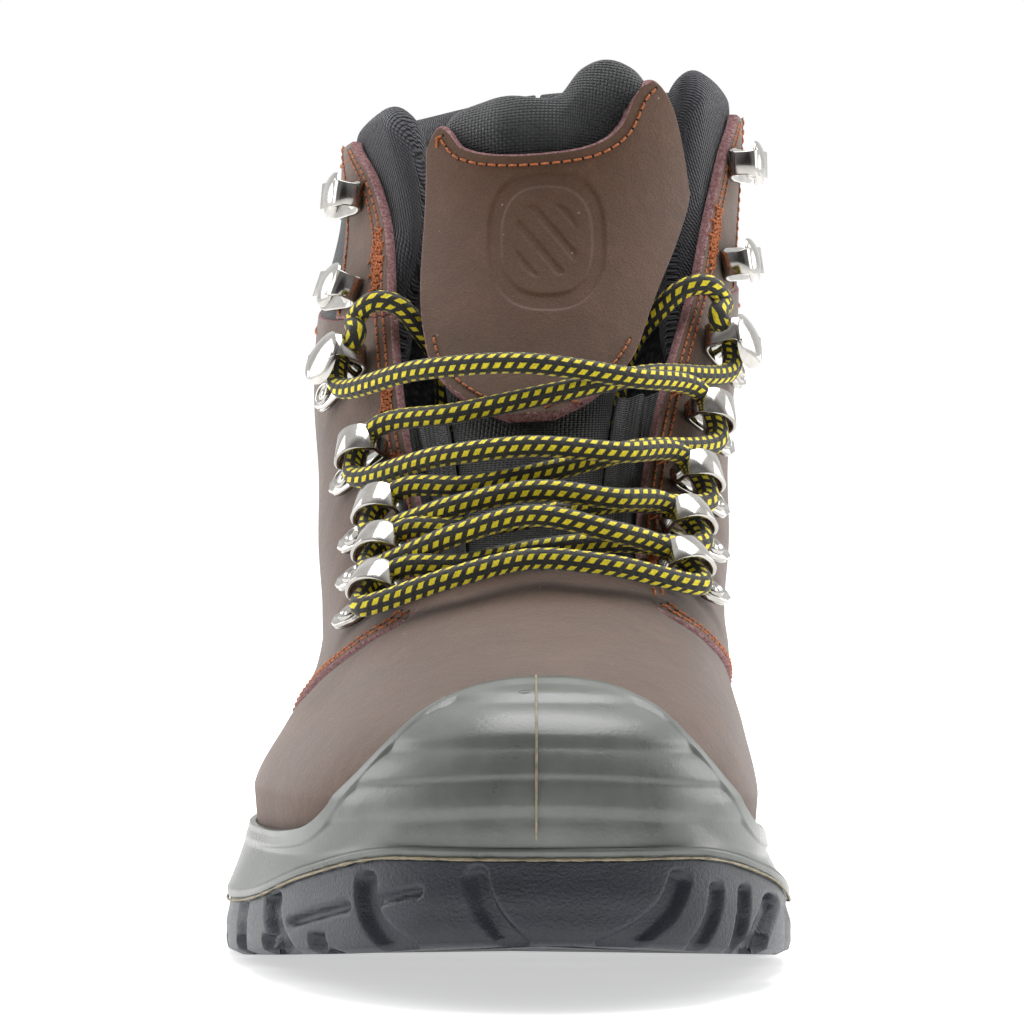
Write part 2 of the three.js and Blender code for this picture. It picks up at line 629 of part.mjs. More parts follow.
// From the outer lock hook down to the bar over the vamp and up again to the inner lock hook.
const holders = [
  [-1, LOCK_HOOK.lateral, -1], [1, LOOPS.medial[3], -1], [-1, LOOPS.lateral[2], -1],
  [1, LOOPS.medial[1], -1], [-1, LOOPS.lateral[0], -1], [1, LOOPS.medial[0], 1],
  [-1, LOOPS.lateral[1], 1], [1, LOOPS.medial[2], 1], [-1, LOOPS.lateral[3], 1],
  [1, LOCK_HOOK.medial, 1],
];
const crossings = [[9.5, 0], [1.8, 0.006], [8, 0.02], [1.8, 0.036], [5, 0.05], [9.5, 0.036], [1.8, 0.02],
  [7.8, 0.006], [3.6, 0]];
const tuckStops = (sign) => tuck(sign).map((stop) => under(...stop));
const laceStops = [...tuckStops(-1).reverse(), ...passStops(...holders[0])];
crossings.forEach(([crest, bow], i) => {
  const start = passRows(...holders[i])[1];
  const end = passRows(...holders[i + 1])[0];
  laceStops.push(...spanStops(start, end, crest, bow), ...passStops(...holders[i + 1]));
});
laceStops.push(...tuckStops(1));

class StopCurve extends THREE.CatmullRomCurve3 {
  getUtoTmapping(u) {
    return u;
  }
}
const laceLine = new StopCurve(laceStops, false, 'centripetal');

function makeLace() {
  const section = new THREE.Shape();
  for (let i = 0; i < LACE_SIDES; i += 1) {
    const angle = (2 * Math.PI * (i + 0.5)) / LACE_SIDES;
    const [x, y] = [Math.cos(angle), Math.sin(angle)].map((c) => (c * LACE_DIAMETER) / 2);
    if (i === 0) section.moveTo(x, y);
    else section.lineTo(x, y);
  }
  return tidy(new THREE.ExtrudeGeometry(section, { steps: laceStops.length - 1, extrudePath: laceLine }));
}
add('lace', makeLace(), laceBraid);

const AGLET_LENGTH = 22;
['lateral', 'medial'].forEach((side, end) => {
  const tip = laceLine.getPoint(end);
  const away = laceLine.getTangent(end).multiplyScalar(end === 0 ? -1 : 1);
  const tube = new THREE.CylinderGeometry(1.7, 1.9, AGLET_LENGTH, 12);
  const aglet = add(`aglet_${side}`, tidy(tube), material(0x151516, 0.4));
  aglet.position.copy(tip).addScaledVector(away, AGLET_LENGTH / 2 + GAP);
  aglet.quaternion.setFromUnitVectors(new THREE.Vector3(0, 1, 0), away);
});

export default object;
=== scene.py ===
import math

import bmesh
import bpy
import numpy as np
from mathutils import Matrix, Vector, noise


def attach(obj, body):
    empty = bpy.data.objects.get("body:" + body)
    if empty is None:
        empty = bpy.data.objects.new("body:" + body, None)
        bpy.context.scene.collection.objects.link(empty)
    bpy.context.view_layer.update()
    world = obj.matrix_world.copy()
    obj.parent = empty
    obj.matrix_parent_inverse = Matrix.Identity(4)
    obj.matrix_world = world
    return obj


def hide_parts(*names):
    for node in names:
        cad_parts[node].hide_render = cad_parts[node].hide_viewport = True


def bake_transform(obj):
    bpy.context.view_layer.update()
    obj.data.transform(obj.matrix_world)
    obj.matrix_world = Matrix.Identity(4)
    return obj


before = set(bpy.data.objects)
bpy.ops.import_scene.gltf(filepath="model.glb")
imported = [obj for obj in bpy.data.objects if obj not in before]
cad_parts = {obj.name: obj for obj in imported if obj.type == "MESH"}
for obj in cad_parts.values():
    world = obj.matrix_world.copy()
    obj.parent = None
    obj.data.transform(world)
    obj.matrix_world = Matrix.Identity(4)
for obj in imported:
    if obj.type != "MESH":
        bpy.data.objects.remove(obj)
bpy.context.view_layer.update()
scene = bpy.context.scene
scene.view_settings.view_transform = "Standard"
mm = 0.001

# camera, at the height of the ankle and some way in front of the toe
view = {"at": (0.0001, -1.1525, 0.130), "tilt": 87.803, "lens": 193.36}
camera = bpy.data.objects.new("camera", bpy.data.cameras.new("camera"))
camera.data.lens = view["lens"]
camera.data.sensor_width = 36
camera.data.clip_start = 0.05
camera.location = view["at"]
camera.rotation_euler = (math.radians(view["tilt"]), 0, 0)
scene.collection.objects.link(camera)
scene.camera = camera

# the last's shape, in millimetres; each table lists (position, value) from the toe (0) to the heel (1)
bootShape = {
    "length": 305, "forefoot": 112, "shift": 0.115,
    "midline": [(0, 6), (0.05, 5.6), (0.12, 4), (0.2, 1.5), (0.28, -1), (0.36, -3), (0.5, -6),
                (0.62, -5.7), (0.75, -3), (0.88, -1), (1, 0)],
    "roundness": [(0, 88), (0.05, 77), (0.12, 71), (0.2, 65.5), (0.28, 61.6), (0.36, 56), (0.5, 44.5),
                  (0.62, 40), (0.75, 45.3), (0.88, 61), (0.96, 76), (1, 80)],
    "parting": [(0, 28), (0.04, 27), (0.1, 22), (0.18, 15.5), (0.26, 12), (0.34, 11), (0.8, 11.5), (1, 14)],
    "tread": [(0, 12), (0.05, 9), (0.12, 6.2), (0.2, 3.3), (0.28, 0.6), (0.31, 0), (0.52, 0),
              (0.57, 5), (0.64, 5), (0.655, 0), (0.93, 0), (1, 2.5)],
}
# rings of the upper at heights 0, 0.1 ... 1.1, from the feather line to above the top line
upperRings = {
    "front": (-146, -149, -143, -122, -92, -62, -34, -8, 10, 22, 27, 28),
    "frontZ": (25, 38, 50, 57.5, 64.5, 74, 88, 109, 131, 153, 175, 189),
    "back": (144, 147, 148, 146, 143, 140, 138, 137, 137.5, 138.5, 139.5, 140),
    "backZ": (24, 38, 52, 67, 82, 98, 113, 128, 143, 157, 170, 181),
    "sideZ": (19, 33, 45, 56, 68, 81, 95, 112, 131, 150, 167, 179),
    "sole": (1, 1, 0.65, 0.35, 0.22, 0.12, 0.05, 0, 0, 0, 0, 0),
    "half": (44, 44, 44.5, 44, 43, 43.5, 44.5, 46.5, 46.7, 44.8, 44.5, 43),
    "scale": (0.87, 0.89, 0.9, 0.9, 0.95, 1, 1, 1, 1, 1, 1, 1),
    "shift": (0, 0, 0, 0, -1, -1.5, -2, -2, -1, 1.2, 2, 3),
}
# where the leather is cut: (height on the upper, turn from the front centre)
cutLines = {
    "opening": [(0, 0.25), (0.12, 0.243), (0.27, 0.2), (0.38, 0.13), (0.45, 0.084), (0.52, 0.077),
                (0.57, 0.08), (0.63, 0.09), (0.7, 0.103), (0.75, 0.113), (0.8, 0.1245), (0.85, 0.135),
                (0.9, 0.15), (0.95, 0.171), (1, 0.202), (1.1, 0.22)],
    "skew": [(0.64, 0), (0.72, -0.003), (0.8, -0.0095), (0.87, -0.01), (0.93, -0.008), (1, -0.002)],
    "facing": [(0.37, 0.004), (0.43, 0.035), (0.5, 0.055), (0.7, 0.07), (0.9, 0.065), (1, 0.04)],
    "guard": [(0, 0.291), (0.015, 0.289), (0.033, 0.276), (0.045, 0.256), (0.056, 0.23), (0.07, 0.178),
              (0.084, 0.123), (0.106, 0.07), (0.13, 0.052), (0.16, 0.046), (0.5, 0.05)],
    "padding": {"medial": [(0.72, 0.142), (0.8, 0.14), (0.87, 0.14), (1.1, 0.145)],
                "lateral": [(0.72, 0.135), (0.8, 0.125), (0.87, 0.118), (0.93, 0.126), (1, 0.145),
                            (1.1, 0.17)]},
    "tongue": {"medial": [(0.5, 0.05), (0.6, 0.058), (0.7, 0.073), (0.76, 0.086), (0.8, 0.097),
                          (0.86, 0.118), (0.9, 0.128), (1.1, 0.129)],
               "lateral": [(0.5, 0.05), (0.6, 0.058), (0.7, 0.072), (0.76, 0.083), (0.8, 0.09),
                           (0.9, 0.1), (1.1, 0.104)]},
}
# tops of the tongue and of its leather face: (share of the width from the outer side, height)
tongueShape = {
    "top": [(0, 0.982), (0.08, 1), (0.27, 1.006), (0.47, 0.998), (0.57, 1.032), (0.68, 1.045), (0.81, 1.02),
            (0.92, 0.972), (1, 0.9)],
    "faceTop": [(0, 0.958), (0.025, 0.973), (0.055, 0.981), (0.09, 0.973), (0.14, 0.955),
                (0.28, 0.942), (0.49, 0.94), (0.62, 0.948), (0.7, 0.966), (0.745, 0.995),
                (0.78, 1.012), (0.82, 1.018), (0.87, 1.004), (0.92, 0.975), (1, 0.9)],
    "faceShare": [(0.69, 0.25), (0.705, 0.62), (0.73, 0.9), (0.76, 0.985), (1.1, 0.99)],
}
sides = (("medial", 1), ("lateral", -1))


def tableCurve(table, at):
    x, y = (np.array(column, float) for column in zip(*table))
    at = np.clip(np.asarray(at, float), x[0], x[-1])
    last = len(x) - 1
    before, after = np.maximum(np.arange(last + 1) - 1, 0), np.minimum(np.arange(last + 1) + 1, last)
    slope = (y[after] - y[before]) / (x[after] - x[before])
    i = np.clip(np.searchsorted(x, at) - 1, 0, last - 1)
    w = x[i + 1] - x[i]
    s = (at - x[i]) / w
    ease = s * s * (3 - 2 * s)
    return y[i] + (y[i + 1] - y[i]) * ease + w * s * (1 - s) * (slope[i] * (1 - s) - slope[i + 1] * s)


def unit(vectors):
    return vectors / np.maximum(np.linalg.norm(vectors, axis=-1, keepdims=True), 1e-9)


def ringValue(key, v):
    return tableCurve([(i / 10, value) for i, value in enumerate(upperRings[key])], v)


def station(turn):
    return (1 - np.cos(turn)) / 2


def mix(a, b, t):
    return a + (b - a) * t


def skin(u, v):  # outer face of the upper; u is the turn, 0 front, 0.25 inner side, 0.5 heel
    u, v = np.broadcast_arrays(np.asarray(u, float), np.asarray(v, float))
    turn = 2 * math.pi * u
    s = station(turn)
    keys = ("front", "back", "frontZ", "backZ", "sideZ")
    front, back, frontZ, backZ, sideZ = (ringValue(key, v) for key in keys)
    share = np.clip(ringValue("sole", v), 0, 1)
    half = mix(ringValue("half", v), tableCurve(bootShape["roundness"], s), share) * ringValue("scale", v)
    midline = mix(6 - 2.6 * s + ringValue("shift", v), tableCurve(bootShape["midline"], s) - 0.5, share)
    level = ((frontZ + backZ) / 2 + sideZ) / 2
    saddle = ((frontZ + backZ) / 2 - sideZ) / 2
    tilt = 3.2 * np.clip(v * 1.6 - 0.3, 0, 1) * np.sin(turn)
    return np.stack([
        bootShape["shift"] + midline + half * np.sin(turn),
        (front + back) / 2 - ((back - front) / 2) * np.cos(turn),
        level + ((frontZ - backZ) / 2) * np.cos(turn) + saddle * np.cos(2 * turn) + tilt,
    ], -1)


def skinFrame(u, v):
    step = 0.002
    across = unit(skin(u + step, v) - skin(u - step, v))
    up = skin(u, v + step) - skin(u, v - step)
    out = unit(np.cross(across, up))
    return skin(u, v), across, np.cross(out, across), out


def under(u, v, depth):
    point, _, _, out = skinFrame(u, v)
    return point + out * np.asarray(depth, float)[..., None]


def shiftAcross(u, v, distance):  # the turn a distance in mm further round the boot
    step = 0.002
    speed = np.linalg.norm(skin(u + step, v) - skin(u - step, v), axis=-1) / (2 * step)
    return u + distance / speed


def opening(v, sign=0):
    return tableCurve(cutLines["opening"], v) - sign * tableCurve(cutLines["skew"], v)


def facing(v):
    return tableCurve(cutLines["facing"], v)


def tongueTurn(a, v, part=1):
    medial, lateral = (tableCurve(cutLines["tongue"][side], v) for side, _ in sides)
    return (medial - lateral) / 2 + (2 * a - 1) * (medial + lateral) / 2 * part


def hexColour(text):
    parts = [int(text[i:i + 2], 16) / 255 for i in (1, 3, 5)]
    return tuple(p / 12.92 if p <= 0.04045 else ((p + 0.055) / 1.055) ** 2.4 for p in parts) + (1,)


def addNode(tree, kind, settings=None, inputs=None):
    node = tree.nodes.new(kind)
    for key, value in (settings or {}).items():
        setattr(node, key, value)
    for key, value in (inputs or {}).items():
        if isinstance(value, bpy.types.NodeSocket):
            tree.links.new(value, node.inputs[key])
        else:
            node.inputs[key].default_value = value
    return node


def math2(tree, operation, a, b=0.0, c=0.0):
    return addNode(tree, "ShaderNodeMath", {"operation": operation}, {0: a, 1: b, 2: c}).outputs[0]


def ramp(tree, value, stops):
    node = addNode(tree, "ShaderNodeValToRGB", None, {"Fac": value})
    elements = node.color_ramp.elements
    for i, (at, colour) in enumerate(stops):
        element = elements[i] if i < 2 else elements.new(at)
        element.position = at
        element.color = colour if not isinstance(colour, str) else hexColour(colour)
    return node.outputs["Color"]


grey = lambda value: (value, value, value, 1)


def finish(name, build, **sockets):
    made = bpy.data.materials.new(name)
    made.use_nodes = True
    tree = made.node_tree
    shader = tree.nodes["Principled BSDF"]
    for key, value in sockets.items():
        shader.inputs[key.replace("_", " ")].default_value = value
    for key, value in build(tree).items():
        tree.links.new(value, shader.inputs[key])
    return made


def objectPlace(tree):
    return addNode(tree, "ShaderNodeTexCoord").outputs["Object"]


def clothPlace(tree):
    return addNode(tree, "ShaderNodeUVMap", {"uv_map": "cloth"}).outputs["UV"]


def mixColour(tree, factor, first, second, blend="MIX"):
    return addNode(tree, "ShaderNodeMix", {"data_type": "RGBA", "blend_type": blend},
                   {"Factor": factor, 6: first, 7: second}).outputs[2]


def objectNoise(tree, scale, detail=3, rough=0.55):
    place = objectPlace(tree)
    node = addNode(tree, "ShaderNodeTexNoise", None,
                   {"Vector": place, "Scale": scale, "Detail": detail, "Roughness": rough})
    return node.outputs["Fac"]


def bumpOf(tree, height, distance, strength=1.0, base=None):
    inputs = {"Height": height, "Distance": distance, "Strength": strength}
    if base is not None:
        inputs["Normal"] = base
    return addNode(tree, "ShaderNodeBump", None, inputs).outputs["Normal"]


# Oiled nubuck: buffed grain side, so a short matt nap, clouded brown with paler rubbed patches
# and dusty specks. Nap clumps about 0.5 mm, drawn a little coarser than the real 0.2 mm to show.
def nubuckNodes(tree):
    cloud = objectNoise(tree, 26, 4)
    nap = objectNoise(tree, 2100, 2, 0.7)
    scuff = objectNoise(tree, 130, 6, 0.7)
    base = ramp(tree, cloud, [(0.3, "#47311f"), (0.7, "#5b402f")])
    rubbed = ramp(tree, scuff, [(0.5, grey(0)), (0.78, grey(0.35))])
    worn = mixColour(tree, rubbed, base, hexColour("#745240"))
    grain = mixColour(tree, 0.42, worn, ramp(tree, nap, [(0.3, grey(0.25)), (0.7, grey(0.75))]), "OVERLAY")
    dust = addNode(tree, "ShaderNodeTexVoronoi", {"feature": "F1"},
                   {"Vector": objectPlace(tree), "Scale": 160})
    speck = math2(tree, "MULTIPLY", math2(tree, "LESS_THAN", dust.outputs["Distance"], 0.045), 0.45)
    colour = mixColour(tree, speck, grain, hexColour("#a58d7c"))
    coarse = bumpOf(tree, scuff, 0.0005, 0.5)
    return {"Base Color": colour, "Normal": bumpOf(tree, nap, 0.0002, 0.55, coarse)}


# Cut edge of the leather: undyed fibres, dusty rose, frayed.
def rawEdgeNodes(tree):
    fibre = objectNoise(tree, 1500, 4, 0.75)
    colour = ramp(tree, fibre, [(0.32, "#6a4547"), (0.5, "#9c7072"), (0.72, "#c9a6a5")])
    return {"Base Color": colour, "Normal": bumpOf(tree, fibre, 0.0006, 1)}


def cellParts(tree, uv, pitchX, pitchY, skew=0.0):
    place = addNode(tree, "ShaderNodeSeparateXYZ", None, {0: uv})
    y = math2(tree, "DIVIDE", place.outputs[1], pitchY)
    x = math2(tree, "DIVIDE", place.outputs[0], pitchX)
    if skew:
        x = math2(tree, "MULTIPLY_ADD", y, skew, x)
    return x, y


def waveOf(tree, value):
    return math2(tree, "ABSOLUTE", math2(tree, "SINE", math2(tree, "MULTIPLY", value, math.pi)))


def wovenHeight(tree, pitch):
    x, y = cellParts(tree, clothPlace(tree), pitch, pitch * 0.8)
    cells = math2(tree, "ADD", math2(tree, "FLOOR", x), math2(tree, "FLOOR", y))
    parity = math2(tree, "GREATER_THAN", math2(tree, "WRAP", cells, 2.0, 0.0), 0.5)
    acrossYarn, alongYarn = waveOf(tree, x), waveOf(tree, y)
    warp = math2(tree, "MULTIPLY", acrossYarn, math2(tree, "POWER", alongYarn, 0.4))
    weft = math2(tree, "MULTIPLY", alongYarn, math2(tree, "POWER", acrossYarn, 0.4))
    height = addNode(tree, "ShaderNodeMix", {"data_type": "FLOAT"}, {"Factor": parity, 2: warp, 3: weft})
    return height.outputs[0], parity


# Ballistic nylon: coarse basket weave of shiny black multifilament yarn with a blue-green cast.
def ballisticNodes(tree, pitch=0.00088):
    height, parity = wovenHeight(tree, pitch)
    fuzz = objectNoise(tree, 300, 3)
    # colour follows the weave's height: painted highlight on the yarn crowns and painted shade in the
    # hollows between yarns; the noise adds the yarn's own uneven tone
    lit = math2(tree, "MULTIPLY", height, math2(tree, "MULTIPLY_ADD", fuzz, 0.5, 0.6))
    colour = ramp(tree, lit, [(0.15, "#040506"), (0.6, "#141719"), (1.0, "#353f43")])
    rough = math2(tree, "MULTIPLY_ADD", parity, 0.12, 0.42)
    return {"Base Color": colour, "Roughness": rough, "Normal": bumpOf(tree, height, 0.0004, 0.9)}


def webbingNodes(tree):
    return ballisticNodes(tree, 0.00055)


# Brushed knit lining of the collar: slanting ribs 0.9 mm apart made of small loops, with loose fibres.
def knitNodes(tree):
    x, y = cellParts(tree, clothPlace(tree), 0.00095, 0.0011, 0.55)
    rib = math2(tree, "POWER", waveOf(tree, x), 0.7)
    loop = math2(tree, "MULTIPLY_ADD", waveOf(tree, math2(tree, "MULTIPLY_ADD", x, 0.5, y)), 0.45, 0.55)
    fuzz = objectNoise(tree, 900, 4, 0.7)
    height = math2(tree, "MULTIPLY", rib, loop)
    height = math2(tree, "MULTIPLY_ADD", fuzz, 0.5, height)
    # colour follows the knit's height: painted highlight on the rib crowns and painted shade in the gaps
    # between ribs; the fibre noise adds the yarn's own mottle
    colour = ramp(tree, height, [(0.3, "#08080a"), (0.8, "#1d1d22"), (1.25, "#3f3f47")])
    return {"Base Color": colour, "Normal": bumpOf(tree, height, 0.0006, 0.9)}


# Spacer mesh of the lining inside, seen only down the shaft.
def liningNodes(tree):
    cell = addNode(tree, "ShaderNodeTexVoronoi", {"feature": "F1"},
                   {"Vector": objectPlace(tree), "Scale": 520})
    colour = ramp(tree, cell.outputs["Distance"], [(0.1, "#2b2b31"), (0.6, "#0e0e11")])
    return {"Base Color": colour, "Normal": bumpOf(tree, cell.outputs["Distance"], -0.0006, 0.8)}


# Polyurethane of the midsole and toe guard, cast in a satin mould: warm grey, faint pits and rub marks.
def foamRubberNodes(tree):
    pits = objectNoise(tree, 1300, 3, 0.6)
    rub = objectNoise(tree, 60, 5, 0.65)
    colour = ramp(tree, rub, [(0.3, "#565956"), (0.7, "#6b6e69")])
    rough = math2(tree, "MULTIPLY_ADD", rub, 0.3, 0.16)
    return {"Base Color": colour, "Roughness": rough, "Normal": bumpOf(tree, pits, 0.00012, 0.5)}


# Nitrile outsole: blue-black, spark-eroded mould texture of about 0.4 mm.
def outsoleNodes(tree):
    spark = objectNoise(tree, 1500, 3, 0.7)
    patch = objectNoise(tree, 50, 3)
    colour = ramp(tree, patch, [(0.35, "#171b23"), (0.7, "#262b36")])
    rough = math2(tree, "MULTIPLY_ADD", spark, 0.35, 0.22)
    return {"Base Color": colour, "Roughness": rough, "Normal": bumpOf(tree, spark, 0.00035, 0.6)}


# Flash left at the parting line: thin pale skin of polyurethane.
def flashNodes(tree):
    return {"Base Color": ramp(tree, objectNoise(tree, 400, 4), [(0.3, "#6f6652"), (0.7, "#a3977c")])}


# Nickel plate on stamped steel: bright, faintly clouded by handling.
def nickelNodes(tree):
    haze = objectNoise(tree, 180, 4)
    return {"Base Color": ramp(tree, haze, [(0.3, "#9d9a94"), (0.7, "#bdbab5")]),
            "Roughness": math2(tree, "MULTIPLY_ADD", haze, 0.14, 0.07)}


# Bonded polyester sewing thread, rust orange, its plies hinted only by fine noise in colour and bump.
def threadNodes(tree):
    ply = objectNoise(tree, 2600, 2)
    return {"Base Color": ramp(tree, ply, [(0.3, "#7d3d1a"), (0.55, "#b8652f"), (0.8, "#d98d55")]),
            "Normal": bumpOf(tree, ply, 0.0003, 0.6)}


# Round polyester braid: black carriers with yellow flecks 2.4 mm apart in six staggered rows.
def braidNodes(tree):
    place = addNode(tree, "ShaderNodeSeparateXYZ", None, {0: clothPlace(tree)})
    along, row = place.outputs[0], place.outputs[1]
    rowIndex = math2(tree, "FLOOR", row)
    inRow = math2(tree, "SUBTRACT", math2(tree, "FRACT", row), 0.5)
    stagger = math2(tree, "MULTIPLY", math2(tree, "WRAP", rowIndex, 2.0, 0.0), 0.5)
    slanted = math2(tree, "MULTIPLY_ADD", inRow, 0.6, math2(tree, "ADD", along, stagger))
    inPitch = math2(tree, "ABSOLUTE", math2(tree, "SUBTRACT", math2(tree, "FRACT", slanted), 0.5))
    ragged = math2(tree, "MULTIPLY", objectNoise(tree, 1800, 2, 0.7), 0.1)
    long = math2(tree, "LESS_THAN", math2(tree, "ADD", inPitch, ragged), 0.312)
    wide = math2(tree, "LESS_THAN", math2(tree, "ADD", math2(tree, "ABSOLUTE", inRow), ragged), 0.312)
    fleck = math2(tree, "MULTIPLY", long, wide)
    fibre = objectNoise(tree, 2200, 3, 0.7)
    black = ramp(tree, fibre, [(0.3, "#0b0b0b"), (0.75, "#34342f")])
    yellow = ramp(tree, fibre, [(0.25, "#c4b00a"), (0.6, "#f4e32c")])
    return {"Base Color": mixColour(tree, fleck, black, yellow),
            "Normal": bumpOf(tree, fibre, 0.00025, 0.6)}


def plainNodes(low, high, scale, depth):
    def build(tree):
        fleck = objectNoise(tree, scale, 4)
        return {"Base Color": ramp(tree, fleck, [(0.3, low), (0.7, high)]),
                "Normal": bumpOf(tree, fleck, depth, 0.5)}
    return build


nubuck = finish("nubuckLeather", nubuckNodes, Roughness=0.82, Sheen_Weight=0.28, Sheen_Roughness=0.5,
                Specular_IOR_Level=0.35)
rawEdge = finish("cutLeatherEdge", rawEdgeNodes, Roughness=0.95)
ballistic = finish("ballisticNylon", ballisticNodes, Sheen_Weight=0.15)
webbing = finish("nylonWebbing", webbingNodes, Sheen_Weight=0.1)
knit = finish("brushedKnit", knitNodes, Roughness=0.9, Sheen_Weight=0.3, Sheen_Roughness=0.4)
lining = finish("spacerMesh", liningNodes, Roughness=0.9)
foamRubber = finish("castPolyurethane", foamRubberNodes)
outsoleRubber = finish("nitrileRubber", outsoleNodes)
flash = finish("mouldFlash", flashNodes, Roughness=0.6)
nickel = finish("nickelPlate", nickelNodes, Metallic=1.0)
thread = finish("polyesterThread", threadNodes, Roughness=0.6)
# near-black discs at the needle holes: painted shade where the thread sinks into the leather
needleHoleShade = finish("needleHoleShade", plainNodes("#0c0706", "#1c100d", 900, 0.0001), Roughness=0.95)
braid = finish("polyesterBraid", braidNodes, Roughness=0.75, Sheen_Weight=0.2)
steel = finish("lacqueredSteel", plainNodes("#6e7276", "#8d9196", 300, 0.00005), Roughness=0.4,
               Metallic=1.0)
fibreboard = finish("fibreboard", plainNodes("#a8946c", "#c8b68e", 500, 0.0002), Roughness=0.9)
felt = finish("feltCover", plainNodes("#1c1c20", "#3a3a40", 1200, 0.0004), Roughness=0.95)
shrunkTip = finish("shrunkPlastic", plainNodes("#0d0d0e", "#1b1b1d", 700, 0.0001), Roughness=0.4)
print("materials made")


def addPiece(name, data):
    piece = bpy.data.objects.new(name, data)
    scene.collection.objects.link(piece)
    return piece


def meshThroughModifiers(piece):
    graph = bpy.context.evaluated_depsgraph_get()
    return bpy.data.meshes.new_from_object(piece.evaluated_get(graph))


def makeMesh(name, points, faces, materials, faceMaterials=None, cloth=None):
    made = bpy.data.meshes.new(name)
    made.from_pydata((np.asarray(points, float).reshape(-1, 3) * mm).tolist(), [],
                     np.asarray(faces).tolist())
    for material in materials:
        made.materials.append(material)
    if faceMaterials is not None:
        made.polygons.foreach_set("material_index", np.asarray(faceMaterials, np.int32))
    made.polygons.foreach_set("use_smooth", np.ones(len(made.polygons), bool))
    if cloth is not None:
        layer = made.uv_layers.new(name="cloth")
        corner = np.zeros(len(made.loops), np.int32)
        made.loops.foreach_get("vertex_index", corner)
        layer.data.foreach_set("uv", (np.asarray(cloth).reshape(-1, 2)[corner]).ravel().astype(np.float32))
    made.update()
    return addPiece(name, made)


def gridQuads(rows, columns, start=0, flip=False):
    index = start + np.arange(rows * columns).reshape(rows, columns)
    quads = np.stack([index[:-1, :-1], index[:-1, 1:], index[1:, 1:], index[1:, :-1]], -1).reshape(-1, 4)
    return quads[:, ::-1] if flip else quads


def arcLengths(grid, axis):
    steps = np.linalg.norm(np.diff(grid, axis=axis), axis=-1)
    zero = np.zeros_like(np.take(steps, [0], axis=axis))
    return np.concatenate([zero, np.cumsum(steps, axis=axis)], axis=axis)


def spread(count, fine):  # even steps with a few close ones at both ends for the rounded edge
    ends = np.array([0, 0.25, 0.6, 1.1, 1.8]) * fine
    return np.concatenate([ends, np.linspace(2.6 * fine, 1 - 2.6 * fine, count), 1 - ends[::-1]])


# A sewn-on panel of leather or cloth: rounded outer edge, raw cut wall, flat back.
def makePanel(name, columns, rows, place, top, thick, materials, edge=0.7, fray=0.16, size=(60, 60),
              cut=0.55):
    a, b = np.meshgrid(spread(columns, 0.5 / size[0]), spread(rows, 0.5 / size[1]))
    u, v = place(a, b)
    base = under(u, v, np.zeros_like(u))
    along, up = arcLengths(base, 1), arcLengths(base, 0)
    rim = np.minimum(np.minimum(along, along[:, -1:] - along), np.minimum(up, up[-1:] - up))
    bend = 1 - np.clip(rim / edge, 0, 1)
    drop = edge * (1 - np.sqrt(np.clip(1 - bend ** 2, 0, 1)))
    level = top(a, b, u, v) if callable(top) else np.full_like(u, top)
    outer = under(u, v, level - drop)
    inner = under(u, v, level - thick)
    nRows, nColumns = u.shape
    count = nRows * nColumns
    ring = np.concatenate([
        np.arange(nColumns), np.arange(1, nRows) * nColumns + nColumns - 1,
        (nRows - 1) * nColumns + np.arange(nColumns - 2, -1, -1), np.arange(nRows - 2, 0, -1) * nColumns])
    outerRim, innerRim = outer.reshape(-1, 3)[ring], inner.reshape(-1, 3)[ring]
    flat = unit(innerRim - outerRim)
    way = unit(np.roll(outerRim, -1, 0) - np.roll(outerRim, 1, 0))
    sideways = unit(np.cross(flat, way))
    walls, shares = [], (0.3, 0.6, 0.85)
    for k, share in enumerate(shares):
        ragged = np.array([noise.noise(Vector(p * 1.7 + k * 9.1)) + 0.6 * noise.noise(Vector(p * 4.1))
                           for p in outerRim])
        walls.append(mix(outerRim, innerRim, share) + sideways * (ragged * fray)[:, None])
    points = np.concatenate([outer.reshape(-1, 3), inner.reshape(-1, 3), *walls])
    levels = [ring, *(2 * count + k * len(ring) + np.arange(len(ring)) for k in range(len(shares))),
              count + ring]
    faces = [gridQuads(nRows, nColumns), gridQuads(nRows, nColumns, count, True)]
    for upper, lower in zip(levels[:-1], levels[1:]):
        faces.append(np.stack([upper, lower, np.roll(lower, -1), np.roll(upper, -1)], -1))
    raw = len(materials) > 1
    kinds = np.concatenate([np.full(len(f), int(i >= 2 and raw)) for i, f in enumerate(faces)])
    if raw:  # the cut shows as a narrow fuzzy strip on the face as well
        near = rim + 0.25 * np.sin(along * 3.1 + up * 2.3) * np.sin(up * 5.7 - along * 1.3)
        quads = faces[0]
        kinds[:len(quads)] = near.reshape(-1)[quads].mean(1) < cut
    uv = np.stack([along - along[:, -1:] / 2, up], -1).reshape(-1, 2) * mm
    wallUv = np.tile(uv[ring], (len(shares), 1))
    return makeMesh(name, points, np.concatenate(faces), materials, kinds, np.concatenate([uv, uv, wallUv]))


def oneSide(sign, start, end, low, high):
    def place(a, b):
        v = mix(low, high, b)
        return sign * mix(start(v, sign), end(v, sign), a if sign > 0 else 1 - a), v
    return place


def finishOff(piece, nodes=(), body="boot"):
    if body == "fold":
        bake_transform(piece)
    else:
        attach(piece, body)
    if nodes:
        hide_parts(*nodes)
    return piece


